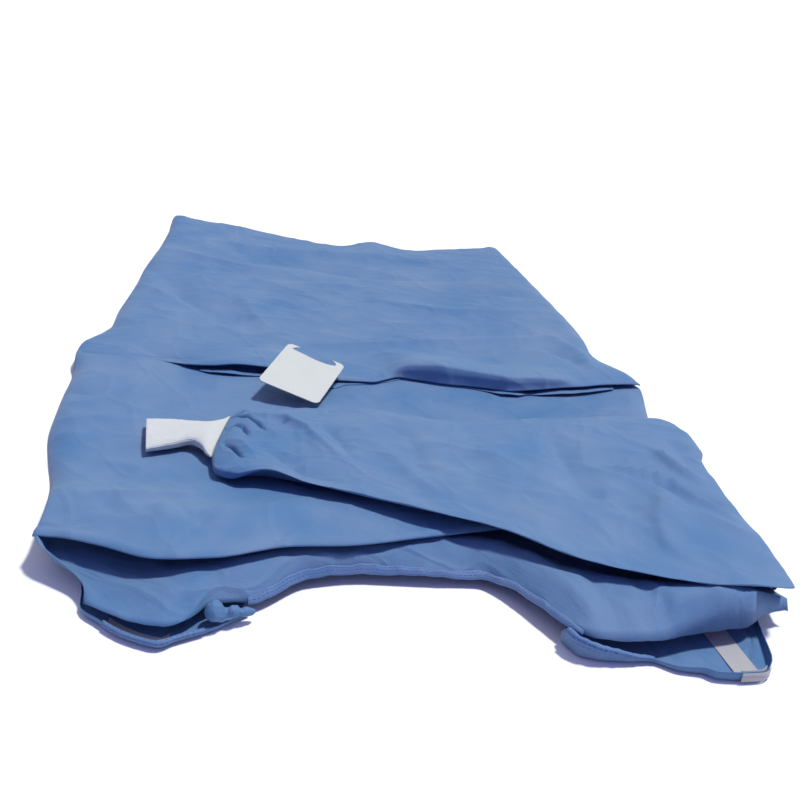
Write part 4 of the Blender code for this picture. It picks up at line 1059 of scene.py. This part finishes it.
def buildCard():
    # stiff card with rounded corners and a crescent notch that leaves a hook at each end
    cut = cardCut
    wide, long = cut["size"]
    inset = cut["corner"]
    outline = []
    for corner, start in (((-1, -1), 180), ((1, -1), 270), ((1, 1), 0), ((-1, 1), 90)):
        if corner == (-1, 1):
            outline += [((u - 0.5) * wide, (v - 0.5) * long) for u, v in cut["notch"]]
        for k in range(7):
            angle = math.radians(start + 15 * k)
            outline.append((corner[0] * (wide / 2 - inset) + inset * math.cos(angle),
                            corner[1] * (long / 2 - inset) + inset * math.sin(angle)))
    shape = bmesh.new()
    verts = [shape.verts.new((x, y, -cut["thick"] / 2)) for x, y in outline]
    face = shape.faces.new(verts)
    raised = bmesh.ops.extrude_face_region(shape, geom=[face])["geom"]
    bmesh.ops.translate(shape, verts=[v for v in raised if isinstance(v, bmesh.types.BMVert)],
                        vec=(0, 0, cut["thick"]))
    bmesh.ops.recalc_face_normals(shape, faces=shape.faces)
    rims = [e for e in shape.edges if abs(e.verts[0].co.z - e.verts[1].co.z) < 0.0001]
    bmesh.ops.bevel(shape, geom=rims, offset=0.00025, segments=2, profile=0.5, affect="EDGES")
    bmesh.ops.triangulate(shape, faces=shape.faces)
    bmesh.ops.transform(shape, matrix=cardPlace(), verts=shape.verts)
    mesh = bpy.data.meshes.new("beltCard")
    shape.to_mesh(mesh)
    shape.free()
    mesh.materials.append(board)
    made = addObject("beltCard", mesh)
    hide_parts("belt_card")
    return made


print("belts and card")
beltLeft = buildBelt("beltLeft", "belt_left", beltCut["left"])
beltRight = buildBelt("beltRight", "belt_right", beltCut["right"])
beltCard = buildCard()


# bindings, tapes and the tie's end along the neck

trimCut = dict(
    step=0.0014, over=0.0009, width=0.0062, leastFlat=0.0105,
    neckline=(-0.112, 0.150), bandLeft=(-0.214, -0.140), bandRight=(0.137, 0.204),
    tapeLeft=table(
        "x near",
        (-0.2160, -0.5890), (-0.2000, -0.6030), (-0.1850, -0.6103), (-0.1715, -0.6139),
        (-0.1620, -0.6075),
    ),
    tapeRight=table("x near", (0.2650, -0.6200), (0.2750, -0.6220), (0.2885, -0.6170)),
)


def resampled(points, step):
    # points along a line, evenly spaced
    lengths = np.concatenate([[0], np.cumsum(np.linalg.norm(np.diff(points, axis=0), axis=1))])
    at = np.linspace(0, lengths[-1], int(lengths[-1] / step) + 1)
    return np.stack([np.interp(at, lengths, points[:, k]) for k in range(3)], axis=-1)


def wobble(points, size, seed):
    return np.array([noise.noise(Vector(point) / size + Vector((seed, 3.1, 7.7))) for point in points])


def finishTrim(name, node, rows, material, wall, cutAway=()):
    # rows to cut away part a strip in two where another layer hides it
    made = clothSheet(name, np.array(rows), material, wall=wall)
    if cutAway:
        shape = bmesh.new()
        shape.from_mesh(made.data)
        across = len(rows[0]) - 1
        shape.faces.ensure_lookup_table()
        gone = [shape.faces[row * across + k] for row in cutAway for k in range(across)]
        bmesh.ops.delete(shape, geom=gone, context="FACES")
        shape.to_mesh(made.data)
        shape.free()
    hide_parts(node)
    return made


def buildNeckBinding():
    # crumpled strip over the front's cut neck edge
    cut = trimCut
    low, high = cut["neckline"]
    picked = (frontPoints[:, -1, 0] > low) & (frontPoints[:, -1, 0] < high)
    edge = resampled(frontPoints[picked, -1], cut["step"])
    inner = resampled(frontPoints[picked, -3], cut["step"])
    at, given = np.linspace(0, 1, len(edge)), np.linspace(0, 1, len(inner))
    inner = np.stack([np.interp(at, given, inner[:, k]) for k in range(3)], axis=-1)
    inside = inner - edge
    inside /= np.linalg.norm(inside, axis=1, keepdims=True)
    out, up = edgeOut(edge), np.array([0, 0, 1.0])
    soft, sharp = wobble(edge, 0.018, 1)[:, None], wobble(edge, 0.006, 2)[:, None]
    ends = np.minimum(np.arange(len(edge)), np.arange(len(edge))[::-1])[:, None] * cut["step"]
    settled = ease(-0.004, 0.020, ends)
    rise = cut["over"] + (0.0007 * np.abs(soft) + 0.0008 * np.abs(sharp)) * settled
    width = cut["width"] * (1 + 0.25 * soft + 0.12 * sharp) * (0.4 + 0.6 * settled)
    rows = [
        edge + inside * width + up * cut["over"] * 0.75,
        edge + inside * width * 0.6 + up * rise,
        edge + inside * width * 0.25 + up * (rise + 0.0005),
        edge + up * rise * 0.9 + out * 0.0003,
        edge + out * (cut["over"] + 0.0003 * np.abs(sharp)) - up * 0.0001,
        edge + out * cut["over"] - up * 0.0014,
    ]
    return finishTrim("neckBinding", "neck_binding_front", rows, edging, 0.0004)


def buildBandBinding(name, node, side, reach, crumpled):
    # strip over the top edge of a turned-up neck band and part of the way down its face
    cut = trimCut
    feet, rises = nearEdge(backCut[side], 400)
    picked = (feet[:, 0] > reach[0]) & (feet[:, 0] < reach[1])
    feet, rises = feet[picked], rises[picked]
    out, up = edgeOut(feet), np.array([0, 0, 1.0])
    lean, over = backCut["profile"][-1][0], cut["over"]
    soft, sharp = wobble(feet, 0.015, 5)[:, None], wobble(feet, 0.0055, 6)[:, None]
    crest = feet + up * rises[:, None]
    more = over + crumpled * (0.0006 * np.abs(soft) + 0.0009 * np.abs(sharp))
    rows = [
        feet + out * (lean + over) + up * (rises * 0.55)[:, None],
        feet + out * (lean + more) + up * (rises * 0.80)[:, None],
        crest + out * (lean + more * 1.2) + up * more * 0.4,
        crest + out * lean * 0.6 + up * more * 1.1,
        crest - out * 0.0002 + up * more,
        crest - out * (0.0010 + 0.0006 * crumpled * np.abs(soft)) - up * 0.0012,
    ]
    return finishTrim(name, node, rows, edging, 0.0004)


def buildTapes():
    # left tape stands against the band's inner face; the right one lies flat, climbs the
    # band and shows on its outer face
    made = []
    for name, node, side, width in (("tapeLeft", "fastener_left", "left", 0.0068),
                                    ("tapeRight", "fastener_right", "right", 0.074)):
        route = trimCut[name]
        feet, rises = nearEdge(backCut[side], 400)
        out = edgeOut(feet)
        x = np.linspace(route["x"][0], route["x"][-1], 40)
        foot = np.stack([x, np.interp(x, feet[:, 0], feet[:, 1]), np.zeros(40)], axis=-1)
        away = np.stack([np.interp(x, feet[:, 0], out[:, k]) for k in range(3)], axis=-1)
        rise = np.interp(x, feet[:, 0], rises)[:, None]
        up = np.array([0, 0, 1.0])
        near = foot - away * 0.0046 + up * 0.0016
        climb = foot - away * 0.0006 + up * (rise * 0.55 + 0.0006)
        rows = []
        if side == "right":
            rows += [foot + away * 0.0031 + up * (rise * 0.10 + 0.0008),
                     foot + away * 0.0032 + up * rise * 0.6,
                     foot + away * 0.0030 + up * (rise + 0.0002), foot + away * 0.0012 + up * (rise + 0.0012)]
        rows += [foot - away * 0.0008 + up * (rise + 0.0004), climb, near]
        for k in range(1, 9):
            share = k / 8
            back = near + np.array([0, 1.0, 0]) * width * share
            back[:, 0] += -0.15 * width * share if side == "right" else 0.0
            rows.append(back)
        made.append(finishTrim(name, node, rows, tape, 0.0006,
                               (2, 3) if side == "right" else ()))
    return made


def buildNeckTie():
    # rolled and knotted end of the tie: a knob, a waist and smaller creased lumps
    shapes = table(
        "x y z radius",
        (-0.1418, -0.5880, 0.0132, 0.0010), (-0.1405, -0.5880, 0.0134, 0.0042),
        (-0.1375, -0.5878, 0.0138, 0.0074),
        (-0.1335, -0.5875, 0.0140, 0.0086), (-0.1295, -0.5872, 0.0134, 0.0074),
        (-0.1268, -0.5868, 0.0122, 0.0046),
        (-0.1245, -0.5856, 0.0118, 0.0036), (-0.1215, -0.5848, 0.0118, 0.0048),
        (-0.1180, -0.5838, 0.0112, 0.0050),
        (-0.1150, -0.5828, 0.0106, 0.0034), (-0.1120, -0.5818, 0.0102, 0.0038),
        (-0.1085, -0.5806, 0.0096, 0.0032),
        (-0.1050, -0.5792, 0.0090, 0.0020), (-0.1035, -0.5786, 0.0088, 0.0007),
    )
    angle = np.linspace(0, 2 * np.pi, 49)
    rings = []
    for k in range(len(shapes["x"])):
        radius = shapes["radius"][k]
        rings.append(np.stack([np.full(49, shapes["x"][k]), shapes["y"][k] + radius * np.cos(angle),
                               shapes["z"][k] + radius * 0.86 * np.sin(angle)], axis=-1))
    fine = refine(np.array(rings), 0.0009, least=2)
    centre = fine.mean(axis=1, keepdims=True)
    reach = np.linalg.norm(fine - centre, axis=-1, keepdims=True)
    lumps = crumple(fine, 0.008, 21, 0.5)[..., None] * 0.0013
    lumps = lumps + crumple(fine, 0.0038, 22, 0.6)[..., None] * 0.0007
    fine = fine + (fine - centre) / np.maximum(reach, 1e-6) * lumps * np.minimum(reach / 0.004, 1)
    fine[:, -1] = fine[:, 0]
    made = clothSheet("neckTie", fine, cloth, wall=0.0004, tube=True)
    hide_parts("neck_tie")
    return made


print("bindings, tapes and tie")
neckBinding = buildNeckBinding()
bandBindingLeft = buildBandBinding("bandBindingLeft", "neck_binding_left", "left", trimCut["bandLeft"], 0.3)
bandBindingRight = buildBandBinding("bandBindingRight", "neck_binding_right", "right",
                                    trimCut["bandRight"], 1.3)
tapes = buildTapes()
neckTie = buildNeckTie()


# camera, light and floor

studio = dict(
    lens=44.06,
    cameraPlace=(-0.072, -1.208, 0.467),
    heading=-5.7,
    elevation=23.4,
    roll=5.8,
    floorReach=60.0,
    front=((0.40, 0.42, 1.0), 0.56),
    back=((1.0, 1.0, 1.0), 1.1),
    above=((1.0, 1.0, 1.0), 0.50),
    rise=(0.06, 0.25),
    turn=(-0.25, 0.55),
    keyTowards=(0.32, 0.17, 0.93),
    keyAngle=7.0,
    keyStrength=3.15,
)


def addCamera():
    camera = bpy.data.cameras.new("camera")
    camera.lens, camera.sensor_width = studio["lens"], 36.0
    camera.clip_start = 0.01
    made = bpy.data.objects.new("camera", camera)
    turn = Matrix.Rotation(math.radians(studio["heading"]), 4, "Z")
    turn = turn @ Matrix.Rotation(math.radians(90 - studio["elevation"]), 4, "X")
    turn = turn @ Matrix.Rotation(math.radians(studio["roll"]), 4, "Z")
    made.matrix_world = Matrix.Translation(studio["cameraPlace"]) @ turn
    bpy.context.scene.collection.objects.link(made)
    bpy.context.scene.camera = made


def addSun(name, towards, angle, strength, colour):
    light = bpy.data.lights.new(name, "SUN")
    light.angle, light.energy, light.color = math.radians(angle), strength, colour
    made = bpy.data.objects.new(name, light)
    made.location = Vector(towards) * 3.0
    made.rotation_euler = Vector(towards).to_track_quat("Z", "Y").to_euler()
    bpy.context.scene.collection.objects.link(made)


def addFloor():
    shape = bmesh.new()
    bmesh.ops.create_grid(shape, x_segments=1, y_segments=1, size=studio["floorReach"])
    bmesh.ops.translate(shape, verts=shape.verts, vec=(0, 0, -0.0006))
    mesh = bpy.data.meshes.new("tableTop")
    shape.to_mesh(mesh)
    shape.free()
    paint = Finish("paleTable", roughness=0.7)
    spot = paint.places("Object")
    paint.link("Base Color", paint.mixed(paint.cloudy(spot, 3.0), (0.90, 0.90, 0.87), (0.93, 0.93, 0.90)))
    mesh.materials.append(paint.material)
    made = bpy.data.objects.new("tableTop", mesh)
    bpy.context.scene.collection.objects.link(made)


def addWorld():
    # white studio behind the gown, brightest at the horizon, and dimmer on the viewer's side
    world = bpy.data.worlds.new("studio")
    world.use_nodes = True
    tree = world.node_tree
    towards = tree.nodes.new("ShaderNodeTexCoord")
    split = tree.nodes.new("ShaderNodeSeparateXYZ")
    tree.links.new(towards.outputs["Generated"], split.inputs[0])

    def background(shader, name):
        shader.inputs["Color"].default_value = (*studio[name][0], 1.0)
        shader.inputs["Strength"].default_value = studio[name][1]
        return shader.outputs[0]

    def blended(axis, reach, low, high):
        share = tree.nodes.new("ShaderNodeMapRange")
        share.interpolation_type = "SMOOTHSTEP"
        share.inputs["From Min"].default_value, share.inputs["From Max"].default_value = reach
        mix = tree.nodes.new("ShaderNodeMixShader")
        tree.links.new(split.outputs[axis], share.inputs["Value"])
        tree.links.new(share.outputs[0], mix.inputs[0])
        tree.links.new(low, mix.inputs[1])
        tree.links.new(high, mix.inputs[2])
        return mix.outputs[0]

    dim = background(tree.nodes["Background"], "front")
    soft = background(tree.nodes.new("ShaderNodeBackground"), "above")
    bright = background(tree.nodes.new("ShaderNodeBackground"), "back")
    behind = blended("Z", studio["rise"], bright, soft)
    whole = blended("Y", studio["turn"], dim, behind)
    tree.links.new(whole, tree.nodes["World Output"].inputs["Surface"])
    bpy.context.scene.world = world


print("camera, light and floor")
addCamera()
addFloor()
addSun("key", studio["keyTowards"], studio["keyAngle"], studio["keyStrength"], (1.0, 0.99, 0.97))
addWorld()
bpy.context.scene.view_settings.view_transform = "Standard"
